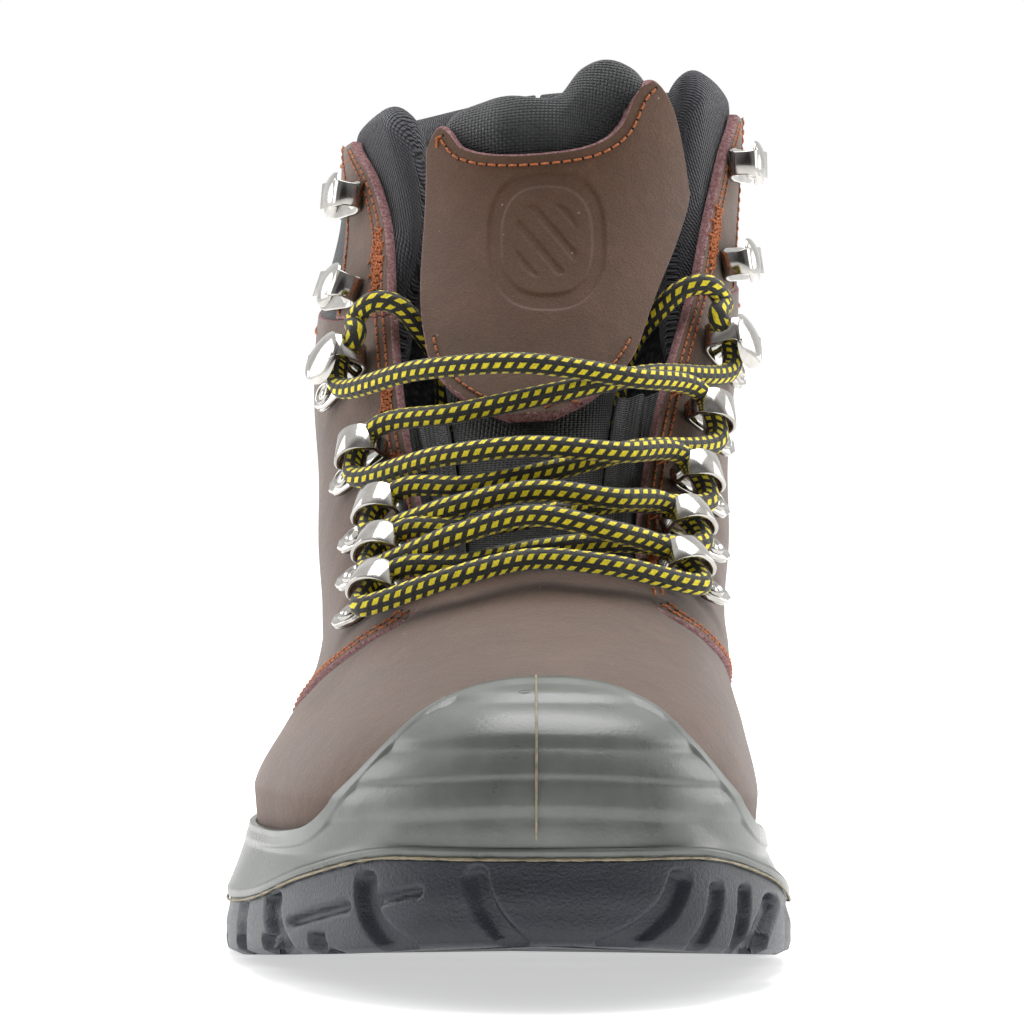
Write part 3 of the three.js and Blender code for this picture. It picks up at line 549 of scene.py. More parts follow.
# lace: holders, and the way over the tongue between them, as the CAD has it
holderPlaces = {
    "loops": {"medial": [(0.103, 0.482), (0.11, 0.544), (0.122, 0.604), (0.136, 0.67)],
              "lateral": [(0.107, 0.458), (0.104, 0.521), (0.106, 0.578), (0.122, 0.648)]},
    "lock": {"medial": (0.154, 0.744), "lateral": (0.142, 0.744)},
    "speed": {"medial": [(0.176, 0.826), (0.186, 0.935)], "lateral": [(0.158, 0.822), (0.178, 0.926)]},
}
laceSettings = {
    "diameter": 4.5, "height": 4.8, "halfPass": 0.018, "reach": 6, "sides": 26, "step": 0.44,
    "rows": 6, "pitch": 2.45, "crown": 0.3,
    "crossings": [(9.5, 0), (1.8, 0.006), (8, 0.02), (1.8, 0.036), (5, 0.05), (9.5, 0.036), (1.8, 0.02),
                  (7.8, 0.006), (3.6, 0)],
    "tuck": [(0.13, 0.784, 5), (0.115, 0.8, 4.8), (0.104, 0.802, 1.5), (0.102, 0.792, -5),
             (0.102, 0.77, -13), (0.115, 0.72, -17), (0.14, 0.66, -15), (0.165, 0.58, -11.5),
             (0.185, 0.49, -11), (0.205, 0.4, -11), (0.23, 0.3, -11), (0.26, 0.235, -12),
             (0.29, 0.21, -12.5), (0.31, 0.2, -13)],
    "medialSlip": 0.014, "slipped": 5,
}


def laceStops():
    s = laceSettings
    loops, lock = holderPlaces["loops"], holderPlaces["lock"]
    holders = [(-1, lock["lateral"], -1), (1, loops["medial"][3], -1), (-1, loops["lateral"][2], -1),
               (1, loops["medial"][1], -1), (-1, loops["lateral"][0], -1), (1, loops["medial"][0], 1),
               (-1, loops["lateral"][1], 1), (1, loops["medial"][2], 1), (-1, loops["lateral"][3], 1),
               (1, lock["medial"], 1)]

    def through(sign, at, way):
        point, across, up, out = skinFrame(sign * at[0], at[1])
        return [point + across * sign * (0.5 - 4 * k * k) + up * way * k * s["reach"]
                + out * (s["height"] + 0.3 * k * k) for k in (-1, 0, 1)]

    def row(sign, at, way, k):
        return sign * (at[0] - 0.01), at[1] + way * k * s["halfPass"]

    slip = lambda sign, i: s["medialSlip"] * (sign > 0 and i < s["slipped"])

    def tucked(sign):
        return [under(sign * (u + slip(sign, i)), v, depth) for i, (u, v, depth) in enumerate(s["tuck"])]

    stops = tucked(-1)[::-1] + through(*holders[0])
    for i, (crest, bow) in enumerate(s["crossings"]):
        (u0, v0), (u1, v1) = row(*holders[i], 1), row(*holders[i + 1], -1)
        for t, rise in ((0.25, 0.6), (0.5, 1), (0.75, 0.6)):
            stops.append(under(mix(u0, u1, t), mix(v0, v1, t) + bow * rise, mix(s["height"], crest, rise)))
        stops += through(*holders[i + 1])
    return np.array(stops + tucked(1))


def smoothLine(stops, perStop):  # centripetal Catmull-Rom through every stop
    ends = np.concatenate([[2 * stops[0] - stops[1]], stops, [2 * stops[-1] - stops[-2]]])
    line = []
    for p0, p1, p2, p3 in zip(ends, ends[1:], ends[2:], ends[3:]):
        d = [max(np.linalg.norm(b - a) ** 0.5, 1e-4) for a, b in ((p0, p1), (p1, p2), (p2, p3))]
        m1 = ((p1 - p0) / d[0] - (p2 - p0) / (d[0] + d[1]) + (p2 - p1) / d[1]) * d[1]
        m2 = ((p2 - p1) / d[1] - (p3 - p1) / (d[1] + d[2]) + (p3 - p2) / d[2]) * d[1]
        t = np.linspace(0, 1, perStop, endpoint=False)[:, None]
        line.append(p1 * (2 * t ** 3 - 3 * t ** 2 + 1) + m1 * (t ** 3 - 2 * t ** 2 + t)
                    + p2 * (3 * t ** 2 - 2 * t ** 3) + m2 * (t ** 3 - t ** 2))
    return np.concatenate([*line, stops[-1:]])


def evenLine(line, step):
    at = np.concatenate([[0], np.cumsum(np.linalg.norm(np.diff(line, axis=0), axis=1))])
    marks = np.linspace(0, at[-1], max(int(round(at[-1] / step)), 2) + 1)
    return np.stack([np.interp(marks, at, line[:, k]) for k in range(3)], 1), at[-1]


def carriedFrames(line):  # a sideways direction carried along the line without twist
    along = unit(np.gradient(line, axis=0))
    side = np.zeros_like(line)
    side[0] = unit(np.cross(along[0], (0.3, 0.5, 0.8)))
    for i in range(1, len(line)):
        kept = side[i - 1] - along[i] * np.dot(side[i - 1], along[i])
        side[i] = kept / np.linalg.norm(kept)
    return along, side, np.cross(along, side)


def makeTube(name, line, radius, nSides, material, cloth=None):
    _, side, up = carriedFrames(line)
    angle = np.linspace(0, 2 * math.pi, nSides + 1)
    steps = np.arange(len(line))[:, None]
    r = radius(steps, angle[None, :]) if callable(radius) else np.full((len(line), nSides + 1), radius)
    outward = side[:, None] * np.cos(angle)[:, None] + up[:, None] * np.sin(angle)[:, None]
    ring = line[:, None] + r[..., None] * outward
    uv = cloth(steps + 0 * angle, angle + 0 * r) if cloth else None
    return makeMesh(name, ring, gridQuads(len(line), nSides + 1, 0, True), [material], None, uv)


def closeEnds(piece):
    shape = bmesh.new()
    shape.from_mesh(piece.data)
    bmesh.ops.remove_doubles(shape, verts=shape.verts, dist=1e-6)
    bmesh.ops.holes_fill(shape, edges=[e for e in shape.edges if e.is_boundary], sides=0)
    shape.to_mesh(piece.data)
    shape.free()
    return piece


def makeLace():
    s = laceSettings
    line, length = evenLine(smoothLine(laceStops(), 12), s["step"])
    step = length / (len(line) - 1)
    lattice = s["rows"] * 2

    def radius(i, angle):
        turns = angle / (2 * math.pi) * lattice
        along = i * step / s["pitch"] * 2
        one = np.abs(np.sin(math.pi * (turns + along) / 2))
        two = np.abs(np.sin(math.pi * (turns - along) / 2))
        return s["diameter"] / 2 - s["crown"] + s["crown"] * np.maximum(one, two) ** 1.5

    def cloth(i, angle):
        return np.stack([i * step / s["pitch"], angle / (2 * math.pi) * s["rows"]], -1)

    lace = closeEnds(makeTube("laceBraid", line, radius, s["sides"], braid, cloth))
    finishOff(lace, ["lace"])
    for name in ("aglet_lateral", "aglet_medial"):
        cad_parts[name].data.materials.clear()
        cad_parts[name].data.materials.append(shrunkTip)
    print("lace made,", round(length), "mm")


makeLace()

# outsole: side lugs and the tread below
outsoleSettings = {
    "columns": 1100, "wallRows": 26, "treadRows": 38,
    "treadGrooves": (-128, -108, -88, -70, -52, -34, -14, 8, 82, 102, 122),
    "grooveWidth": 4.5, "grooveDepth": 4,
    # grooves round the toe: (x, height over the tread) at the start, the bend and the end, width and depth
    "wallGrooves": [
        ((-6.5, 13), (-5.5, 5), (2, 0), 3.6, 1.8), ((-27, 13.5), (-27.5, 4), (-19, 0), 3.4, 2.2),
        ((-41.5, 6.5), (-36, 8), (-31, 9), 1.7, 1.6), ((-26, 9.6), (-22, 10.4), (-17.5, 10.8), 1.7, 1.5),
        ((-45.5, 11), (-46.5, 4), (-41, -1), 3, 2.6), ((-52, 10.5), (-53, 5), (-52.3, -1), 1.5, 1.6),
        ((31, 13), (29, 4), (17, 0), 3.6, 1.9), ((38, 12), (38, 6), (34, 1), 2.2, 1.7),
        ((43.5, 12), (43.5, 5), (41, -1), 2, 2), ((49, 10), (47, 4), (43.5, -1), 3.2, 2.8),
        ((53, 10), (53.4, 5), (53, -1), 1.4, 1.6),
    ],
}


def soleOutline(turn, inset, z):
    s = station(turn)
    half = tableCurve(bootShape["roundness"], s) * (1 - 2 * inset / bootShape["forefoot"])
    return np.stack(np.broadcast_arrays(
        bootShape["shift"] + tableCurve(bootShape["midline"], s) + half * np.sin(turn),
        -(bootShape["length"] / 2 - inset) * np.cos(turn), z), -1)


def soleSpine(turn, z):
    s = station(turn)
    return np.stack(np.broadcast_arrays(bootShape["shift"] + tableCurve(bootShape["midline"], s),
                                        -(bootShape["length"] / 2 - 14) * np.cos(turn), z), -1)


def smoothStep(low, high, value):
    t = np.clip((value - low) / (high - low), 0, 1)
    return t * t * (3 - 2 * t)


partingZ = lambda turn: tableCurve(bootShape["parting"], station(turn))
treadZ = lambda turn: np.maximum(tableCurve(bootShape["tread"], station(turn)), 0)
featherZ = lambda turn: skin(turn / (2 * math.pi), 0)[..., 2]
trayZ = lambda turn: np.minimum(partingZ(turn), featherZ(turn) - 6)


def treadCut(x, y):  # 1 in a groove of the tread
    total = np.zeros_like(x)
    for at in outsoleSettings["treadGrooves"]:
        bow = 7 if at < 60 else -6
        centre = at + bow * (x / 62) ** 2
        off = np.abs(y - centre) / outsoleSettings["grooveWidth"]
        total = np.maximum(total, 1 - smoothStep(0.36, 0.56, off))
    return total


def wallCut(ring, turn, share):  # depth in mm of the grooves in the side wall
    total, high = np.zeros(len(ring)), ring[:, 2] - treadZ(turn)
    k = np.linspace(0, 1, 30)[:, None]
    for start, bend, end, width, depth in outsoleSettings["wallGrooves"]:
        line = (1 - k) ** 2 * np.array(start) + 2 * k * (1 - k) * np.array(bend) + k * k * np.array(end)
        off = np.hypot(ring[:, 0][:, None] - line[:, 0], high[:, None] - line[:, 1]).min(1)
        total = np.maximum(total, depth * (1 - smoothStep(width / 2 - 0.5, width / 2 + 0.5, off)))
    signed = turn / (2 * math.pi)
    total = np.where(np.abs(signed) < 0.25, total, 0)
    backLugs = np.abs(np.sin(math.pi * signed * 46)) < 0.16
    return np.maximum(total, np.where(backLugs & (np.abs(signed) > 0.26) & (share < 0.72), 1.4, 0))


def ringSurface(name, rings, columns, material, shape=None):
    turn = np.linspace(-math.pi, math.pi, columns + 1)
    grid = np.stack([np.broadcast_to(r(turn), (columns + 1, 3)) for r in rings])
    if shape:
        grid = shape(grid, turn)
    grid[:, -1] = grid[:, 0]
    return closeEnds(makeMesh(name, grid, gridQuads(len(rings), columns + 1), [material]))


def makeOutsole():
    s = outsoleSettings
    profile = [(0, 0.4), (0.16, 0), (0.35, 0), (0.55, 0), (0.8, 0.5), (1, 0.8)]
    shares = np.linspace(0, 1, s["wallRows"])
    rings = [lambda t: soleSpine(t, treadZ(t))]
    for k in np.linspace(0.04, 1, s["treadRows"]):
        rings.append(lambda t, k=k: mix(soleSpine(t, treadZ(t)), soleOutline(t, 2.8, treadZ(t)), k))
    for share in shares:
        rings.append(lambda t, share=share: soleOutline(
            t, float(tableCurve(profile, share)), mix(treadZ(t) + 1.2, partingZ(t), share)))
    rings += [lambda t: soleOutline(t, 3.2, partingZ(t) - 0.2), lambda t: soleOutline(t, 8, trayZ(t)),
              lambda t: soleSpine(t, trayZ(t))]

    def shape(grid, turn):
        bottom = slice(0, s["treadRows"] + 1)
        cut = treadCut(grid[bottom, :, 0], grid[bottom, :, 1]) * s["grooveDepth"]
        grid[bottom, :, 2] += cut
        first = s["treadRows"] + 1
        for i, share in enumerate(shares):
            ring = grid[first + i]
            inward = unit(soleSpine(turn, 0.0) - soleOutline(turn, 0, 0.0))
            depth = wallCut(ring, turn, share)
            low = 1 - smoothStep(3.5, 4.5, ring[:, 2] - treadZ(turn))
            depth = np.maximum(depth, treadCut(ring[:, 0], ring[:, 1]) * low * 2.6)
            fade = smoothStep(0, 0.06, 1 - share)
            ring += inward * (depth * fade)[:, None]
        return grid

    finishOff(ringSurface("outsoleMoulding", rings, s["columns"], outsoleRubber, shape), ["outsole"])
    print("outsole made")


makeOutsole()

# midsole and toe guard in one casting
guardSettings = {
    "columns": 760, "border": 3.6, "creases": (56.4, 48.9, 42.6, 36), "sag": 7, "relief": 0.62,
    "wallAt": (0.1, 0.35, 0.62, 0.84, 1), "frontWall": (3.6, 3.4, 3.5, 3.3, 3.2),
    "sideWall": (3.4, 3.0, 2.5, 1.9, 1.6),
    "flashX": 4.6, "flashRadius": 0.24, "gateAt": (2.3, 57.8), "gate": (1.0, 1.5),
}
guardEdge = lambda turn: tableCurve(cutLines["guard"], np.abs(turn) / (2 * math.pi))



def guardWall(turn, part, depth):
    return under(turn / (2 * math.pi), guardEdge(turn) * part, depth * np.ones_like(turn))


def thinner(turn):  # 1 where the wall has thinned to a lip
    return smoothStep(0.09, 0.17, np.abs(turn) / (2 * math.pi))


def makeMidsole():
    s = guardSettings
    rings = [lambda t: soleSpine(t, trayZ(t) + 0.3), lambda t: soleOutline(t, 8.2, trayZ(t) + 0.3),
             lambda t: soleOutline(t, 3.4, partingZ(t) + 0.15),
             lambda t: soleOutline(t, 0.9, partingZ(t) + 0.2),
             lambda t: soleOutline(t, 0.35, partingZ(t) + 0.7),
             lambda t: soleOutline(t, 0.2, partingZ(t) + 1.4),
             lambda t: soleOutline(t, 0.2, partingZ(t) + 2.2)]
    first = len(rings)
    parts = np.linspace(0.1, 1, 58)

    def wall(t, part):
        low = soleOutline(t, 0.2, partingZ(t) + 2.2)
        front, back = (np.interp(part, s["wallAt"], s[key]) for key in ("frontWall", "sideWall"))
        depth = mix(front, back, thinner(t))
        return mix(low, guardWall(t, np.full_like(t, part), depth), smoothStep(0.02, 0.4, part))

    for part in parts:
        rings.append(lambda t, part=part: wall(t, part))
    for extra, depth in ((1.004, 3.0), (1.009, 2.6), (1.011, 1.9), (1.009, 1.0), (1.0, 0.2)):
        rings.append(lambda t, extra=extra, depth=depth: guardWall(
            t, np.full_like(t, extra), mix(depth, depth * 0.48, thinner(t))))
    for part in (0.9, 0.7, 0.5, 0.3, 0.1):
        rings.append(lambda t, part=part: guardWall(t, np.full_like(t, part), 0.2))
    rings += [lambda t: soleOutline(t, 10, featherZ(t) - 3.2), lambda t: soleSpine(t, featherZ(t) - 3.2)]

    def shape(grid, turn):
        band = grid[first:first + len(parts) + 5]
        toTop = np.linalg.norm(band - band[-4][None], axis=-1)
        inBand = 1 - smoothStep(s["border"] - 0.5, s["border"] + 0.3, toTop)
        out = unit(np.cross(np.gradient(band, axis=1), np.gradient(band, axis=0)))
        front = 1 - smoothStep(0.14, 0.2, np.abs(turn) / (2 * math.pi))
        depth = guardFolds(band, turn) * (1 - inBand) - 0.45 * front * (1 - inBand)
        band += out * depth[..., None]
        return grid

    finishOff(ringSurface("toeGuardMidsole", rings, s["columns"], foamRubber, shape), ["midsole"])
    print("midsole and toe guard made")


def guardFolds(points, turn):
    s = guardSettings
    sideways = (points[..., 0] - 5) / 52
    height = points[..., 2] + s["sag"] * sideways ** 2
    edges = (61.5,) + s["creases"] + (28.5,)
    total = np.zeros_like(height)
    for high, low in zip(edges[:-1], edges[1:]):
        t = np.clip((height - low) / (high - low), 0, 1)
        total += (1 - t ** 3) * smoothStep(0, 0.22, t)
    fade = 1 - smoothStep(0.1, 0.19, np.abs(turn) / (2 * math.pi))
    fade = fade * (1 - smoothStep(0.6, 1.05, np.abs(sideways)))
    return (total - 0.4) * fade * s["relief"]


makeMidsole()

# pale flash where the two casts meet, and the mould's line down the front of the guard
def makeFlash():
    turn = np.linspace(-math.pi, math.pi, 1400, endpoint=False)
    line = soleOutline(turn, 0.25, partingZ(turn) + 0.1)
    wobble = np.array([noise.noise(Vector(p * 0.35)) + 0.5 * noise.noise(Vector(p * 1.3)) for p in line])
    line = np.concatenate([line, line[:1]])
    wobble = np.concatenate([wobble, wobble[:1]])
    ragged = lambda i, angle: 0.26 + 0.16 * wobble[i] + 0 * angle
    finishOff(makeTube("partingFlash", line, ragged, 6, flash), ())
    s = guardSettings
    height = np.linspace(27.4, 60.4, 90)
    grid = np.linspace(0.02, 0.99, 400)
    turn = np.zeros(90)
    for _ in range(4):  # the turn on the guard where x is the mould's plane
        wall = guardWall(turn, np.interp(height, *guardHeights(grid)), 3.5)
        turn += (s["flashX"] - wall[:, 0]) / 62
    line = wall + (0, -1, 0) * np.array([0.05])
    print("mould line", line[0], line[-1])
    finishOff(makeTube("mouldLine", line, s["flashRadius"], 6, flash), ())
    turns = np.array([(s["gateAt"][0] - s["flashX"]) / 350 + turn[60] / (2 * math.pi)] * 25)
    around = np.linspace(0, 2 * math.pi, 25)
    share = np.interp(s["gateAt"][1], *guardHeights(grid))
    gate = guardWall(turns * 2 * math.pi + s["gate"][0] * np.cos(around) / 56,
                     share + s["gate"][1] * np.sin(around) / 130, 3.05)
    finishOff(makeTube("gateMark", gate, 0.25, 6, foamRubber), ())


def guardHeights(parts):  # height of the guard's wall over its share, straight ahead
    wall = guardWall(np.full(len(parts), 0.09), parts, 3.5)
    return wall[:, 2], parts


makeFlash()

# leather upper
upperSettings = {
    "leather": 2.2, "back": 0.4, "low": 0.8, "high": 0.93, "throat": 0.52, "seamLap": 0.0012,
    "seamRise": 0.55,
    "stitchFromEdge": (2.1, 4.7), "seamRows": (1.7, 4.3), "heelRows": (2, 4.6),
    "seamSpan": (0.07, 0.44), "facingSpan": (0.47, 0.985), "heelTop": 0.61,
    # bartacks: heights on the facing, distance from its edge, length along it, width, count, lift
    "tacks": (((0.52, 0.585, 0.645, 0.71), 3.4, 0.022, 3.2, 4, 0.3),
              ((0.84, 0.855, 0.87), 3.6, 0.035, 2.6, 5, 0.5)),
}


def upperPlace(sign, low, high, start=None, end=None):
    s = upperSettings
    return oneSide(sign, start or (lambda v, g: opening(v, g) + facing(v) + s["seamLap"]),
                   end or (lambda v, g: s["back"] - s["seamLap"] + 0 * v), low, high)


def makeUpper():
    s = upperSettings
    leather = [nubuck, rawEdge]
    vamp = makePanel("vampLeather", 150, 110, lambda a, b: (
        (2 * a - 1) * (opening(mix(0.002, s["throat"], b)) + 0.004), mix(0.002, s["throat"], b)),
        lambda a, b, u, v: -0.7 * smoothStep(0.9, 1, np.abs(2 * a - 1)) * smoothStep(0.5, 0.3, v), 1.4,
        leather, size=(180, 100))
    finishOff(vamp, ["vamp"])
    for side, sign in sides:
        front = lambda v, g: opening(v, g) - 0.001 + 0 * v
        # quarter and facing are one hide, folded along the facing
        def quarterTop(a, b, u, v):  # raised where it laps the vamp, and a little along the facing
            fromEdge = np.abs(u) - opening(v)
            lap = (1 - smoothStep(0.03, 0.07, fromEdge)) * (1 - smoothStep(0.4, 0.46, v))
            ridge = smoothStep(0.02, 0.03, facing(v) * 0.52 - np.abs(fromEdge - facing(v) * 0.5))
            return s["seamRise"] * lap + 0.15 * ridge

        quarter = makePanel(f"quarterLeather_{side}", 120, 130,
                            upperPlace(sign, 0.004, s["low"] - 0.003, front),
                            quarterTop, s["leather"], leather, size=(110, 110))
        finishOff(quarter, [f"quarter_{side}"])
        stay = makePanel(f"eyestayLeather_{side}", 26, 60, upperPlace(
            sign, s["low"] - 0.003, 1.0, front, lambda v, g: opening(v, g) + facing(v) * 0.95),
            0.35, s["leather"], leather, size=(20, 40))
        finishOff(stay, [f"eyestay_{side}"])
        panel = makePanel(f"ankleWebbing_{side}", 70, 26, upperPlace(
            sign, s["low"] - 0.012, s["high"] + 0.012, lambda v, g: opening(v, g) + facing(v) * 0.8),
            -0.5, 1.5, [webbing], size=(70, 25))
        finishOff(panel, [f"ankle_panel_{side}"])
        collar = makePanel(f"collarLeather_{side}", 90, 18, upperPlace(
            sign, s["high"], 1.0, lambda v, g: opening(v, g) + facing(v) * 0.86),
            0.1, s["leather"] + 0.1, leather, size=(70, 12))
        finishOff(collar, [f"collar_leather_{side}"])
    for name, low, high, level in (("heelLeather", 0.002, 0.62, 0.7),
                                   ("backstayLeather", s["heelTop"], 1.0, 0.9)):
        piece = makePanel(name, 60, 60, lambda a, b, low=low, high=high: (
            mix(s["back"] - 0.006, 1.006 - s["back"], a), mix(low, high, b)), level, s["leather"] + level,
            leather, size=(60, 60))
        finishOff(piece, ["heel_cover" if low < 0.1 else "backstay"])
    print("upper made")


makeUpper()

# stitching: one line mesh for each body's rows, walked by Geometry Nodes
stitchSettings = {"pitch": 2.5, "length": 2.25, "thread": 0.25, "rise": 0.3, "sink": 0.25, "hole": 0.4}


def makeStitchTree():
    tree = bpy.data.node_groups.new("lockstitchRow", "GeometryNodeTree")
    tree.interface.new_socket("Rows", in_out="INPUT", socket_type="NodeSocketGeometry")
    for key in stitchSettings:
        tree.interface.new_socket(key, in_out="INPUT", socket_type="NodeSocketFloat")
    for key in ("threadFinish", "holeShadeFinish"):
        tree.interface.new_socket(key, in_out="INPUT", socket_type="NodeSocketMaterial")
    tree.interface.new_socket("Stitches", in_out="OUTPUT", socket_type="NodeSocketGeometry")
    given = addNode(tree, "NodeGroupInput").outputs
    curve = addNode(tree, "GeometryNodeMeshToCurve", None, {"Mesh": given["Rows"]})
    marks = addNode(tree, "GeometryNodeResampleCurve", {"mode": "LENGTH"},
                    {"Curve": curve.outputs[0], "Length": given["pitch"]})
    out = addNode(tree, "GeometryNodeInputNamedAttribute", {"data_type": "FLOAT_VECTOR"}, {"Name": "out"})
    turned = addNode(tree, "FunctionNodeAxesToRotation", {"primary_axis": "Z", "secondary_axis": "X"},
                     {0: out.outputs["Attribute"], 1: addNode(tree, "GeometryNodeInputTangent").outputs[0]})
    half = math2(tree, "MULTIPLY", given["length"], 0.5)
    place = lambda inputs: addNode(tree, "ShaderNodeCombineXYZ", None, inputs).outputs[0]
    ends = [place({0: math2(tree, "MULTIPLY", half, way), 2: math2(tree, "MULTIPLY", given["sink"], -1)})
            for way in (-1, 1)]
    top = place({2: math2(tree, "MULTIPLY", given["rise"], 2)})
    bend = addNode(tree, "GeometryNodeCurveQuadraticBezier", None,
                   {"Resolution": 6, "Start": ends[0], "Middle": top, "End": ends[1]})
    section = addNode(tree, "GeometryNodeCurvePrimitiveCircle", None,
                      {"Resolution": 6, "Radius": given["thread"]})
    strand = addNode(tree, "GeometryNodeCurveToMesh", None,
                     {"Curve": bend.outputs[0], "Profile Curve": section.outputs[0], "Fill Caps": True})
    # a flat dark disc at each needle hole, painted shade inside the hole
    hole = addNode(tree, "GeometryNodeMeshUVSphere", None, {"Segments": 7, "Rings": 4,
        "Radius": given["hole"]})
    flat = addNode(tree, "GeometryNodeTransform", None, {
        "Geometry": hole.outputs[0], "Scale": (1, 0.9, 0.25),
        "Translation": place({0: math2(tree, "MULTIPLY", given["pitch"], 0.5)})})
    results = []
    for shape, material in ((strand, "threadFinish"), (flat, "holeShadeFinish")):
        placed = addNode(tree, "GeometryNodeInstanceOnPoints", None, {
            "Points": marks.outputs[0], "Instance": shape.outputs[0], "Rotation": turned.outputs[0]})
        real = addNode(tree, "GeometryNodeRealizeInstances", None, {0: placed.outputs[0]})
        smooth = addNode(tree, "GeometryNodeSetShadeSmooth", None, {0: real.outputs[0]})
        results.append(addNode(tree, "GeometryNodeSetMaterial", None, {
            "Geometry": smooth.outputs[0], "Material": given[material]}).outputs[0])
    both = addNode(tree, "GeometryNodeJoinGeometry")
    for result in results:
        tree.links.new(result, both.inputs[0])
    addNode(tree, "NodeGroupOutput", None, {0: both.outputs[0]})
    return tree


stitchTree = makeStitchTree()


def sewRows(name, rows, body, slot, **changes):
    points, outs, edges = [], [], []
    for line, out in rows:
        start = sum(len(p) for p in points)
        points.append(line)
        outs.append(out)
        edges += [(start + i, start + i + 1) for i in range(len(line) - 1)]
    lineMesh = bpy.data.meshes.new(name)
    lineMesh.from_pydata((np.concatenate(points) * mm).tolist(), edges, [])
    lineMesh.attributes.new("out", "FLOAT_VECTOR", "POINT").data.foreach_set(
        "vector", np.concatenate(outs).ravel().astype(np.float32))
    walker = addPiece(name + "Rows", lineMesh)
    modifier = walker.modifiers.new("lockstitch", "NODES")
    modifier.node_group = stitchTree
    values = {**stitchSettings, **changes}
    for socket in stitchTree.interface.items_tree:
        if socket.in_out == "INPUT" and socket.name in values:
            modifier[socket.identifier] = values[socket.name] * mm
        elif socket.name == "threadFinish":
            modifier[socket.identifier] = thread
        elif socket.name == "holeShadeFinish":
            modifier[socket.identifier] = needleHoleShade
    made = meshThroughModifiers(walker)
    made.name = name
    bpy.data.objects.remove(walker)
    finishOff(addPiece(name, made), (), body)


def surfaceRow(u, v, lift, step=0.8):
    u, v = np.broadcast_arrays(u, v)
    line = under(u, v, np.zeros(len(u)) + lift)
    out = skinFrame(u, v)[3]
    at = np.concatenate([[0], np.cumsum(np.linalg.norm(np.diff(line, axis=0), axis=1))])
    marks = np.linspace(0, at[-1], max(int(at[-1] / step), 2))
    pick = lambda data: np.stack([np.interp(marks, at, data[:, k]) for k in range(3)], 1)
    return pick(line), unit(pick(out))


def zigzag(centreU, centreV, alongV, width, count, lift):
    k = np.linspace(0, 1, count * 2 + 1)
    v = centreV + (k - 0.5) * alongV
    u = shiftAcross(centreU + 0 * v, v, width * np.where(np.arange(len(k)) % 2 == 0, -0.5, 0.5))
    line, out = under(u, v, np.zeros(len(u)) + lift), skinFrame(u, v)[3]
    return line, out


def makeUpperStitching():
    s = upperSettings
    rows, tacks = [], []
    span = lambda low, high: np.linspace(low, high, 120)
    for side, sign in sides:
        for off in s["seamRows"]:  # seam of the quarter over the vamp
            v = span(*s["seamSpan"])
            rows.append(surfaceRow(sign * shiftAcross(opening(v, sign), v, off), v, 0.55))
        for off in s["stitchFromEdge"]:  # both rows beside the facing's cut edge
            v = span(*s["facingSpan"])
            rows.append(surfaceRow(sign * shiftAcross(opening(v, sign), v, off), v,
                                   0.2 + 0.15 * (v > s["low"])))
            u = np.linspace(float(opening(np.array(0.98), sign)) + 0.012, s["back"] - 0.01, 160)
            rows.append(surfaceRow(sign * u, 1.0 - off / 86 + 0 * u, 0.12))
            u = np.linspace(0.235, s["back"] - 0.01, 120)
            rows.append(surfaceRow(sign * u, s["low"] - 0.003 - off / 100 + 0 * u, 0.05))
        u = np.linspace(0.235, s["back"] - 0.01, 120)
        rows.append(surfaceRow(sign * u, s["high"] + 1.9 / 86 + 0 * u, 0.12))
        v = span(s["low"] + 0.004, 0.995)
        rows.append(surfaceRow(sign * shiftAcross(opening(v, sign) + facing(v) * 0.9, v, -1.8), v, 0.4))
        for off in s["heelRows"]:  # heel cover and backstay
            v = span(0.1, s["heelTop"])
            rows.append(surfaceRow(sign * shiftAcross(s["back"] - 0.006 + 0 * v, v, off), v, 0.75))
            v = span(0.63, 0.985)
            rows.append(surfaceRow(sign * shiftAcross(s["back"] - 0.006 + 0 * v, v, off), v, 0.95))
        for heights, off, tall, wide, count, lift in s["tacks"]:
            for v in heights:
                tacks.append(zigzag(sign * shiftAcross(opening(v, sign), v, off), v, tall, wide, count,
                                    lift))
    for off in s["heelRows"]:
        u = np.linspace(0.405, 0.595, 80)
        rows.append(surfaceRow(u, s["heelTop"] + off / 90 + 0 * u, 0.95))
    sewRows("upperStitching", rows, "boot", "nubuck")
    sewRows("bartacks", tacks, "boot", "nubuck", pitch=1.2, length=1.5, thread=0.26, rise=0.35, hole=0.2)
    print("upper stitched")


makeUpperStitching()

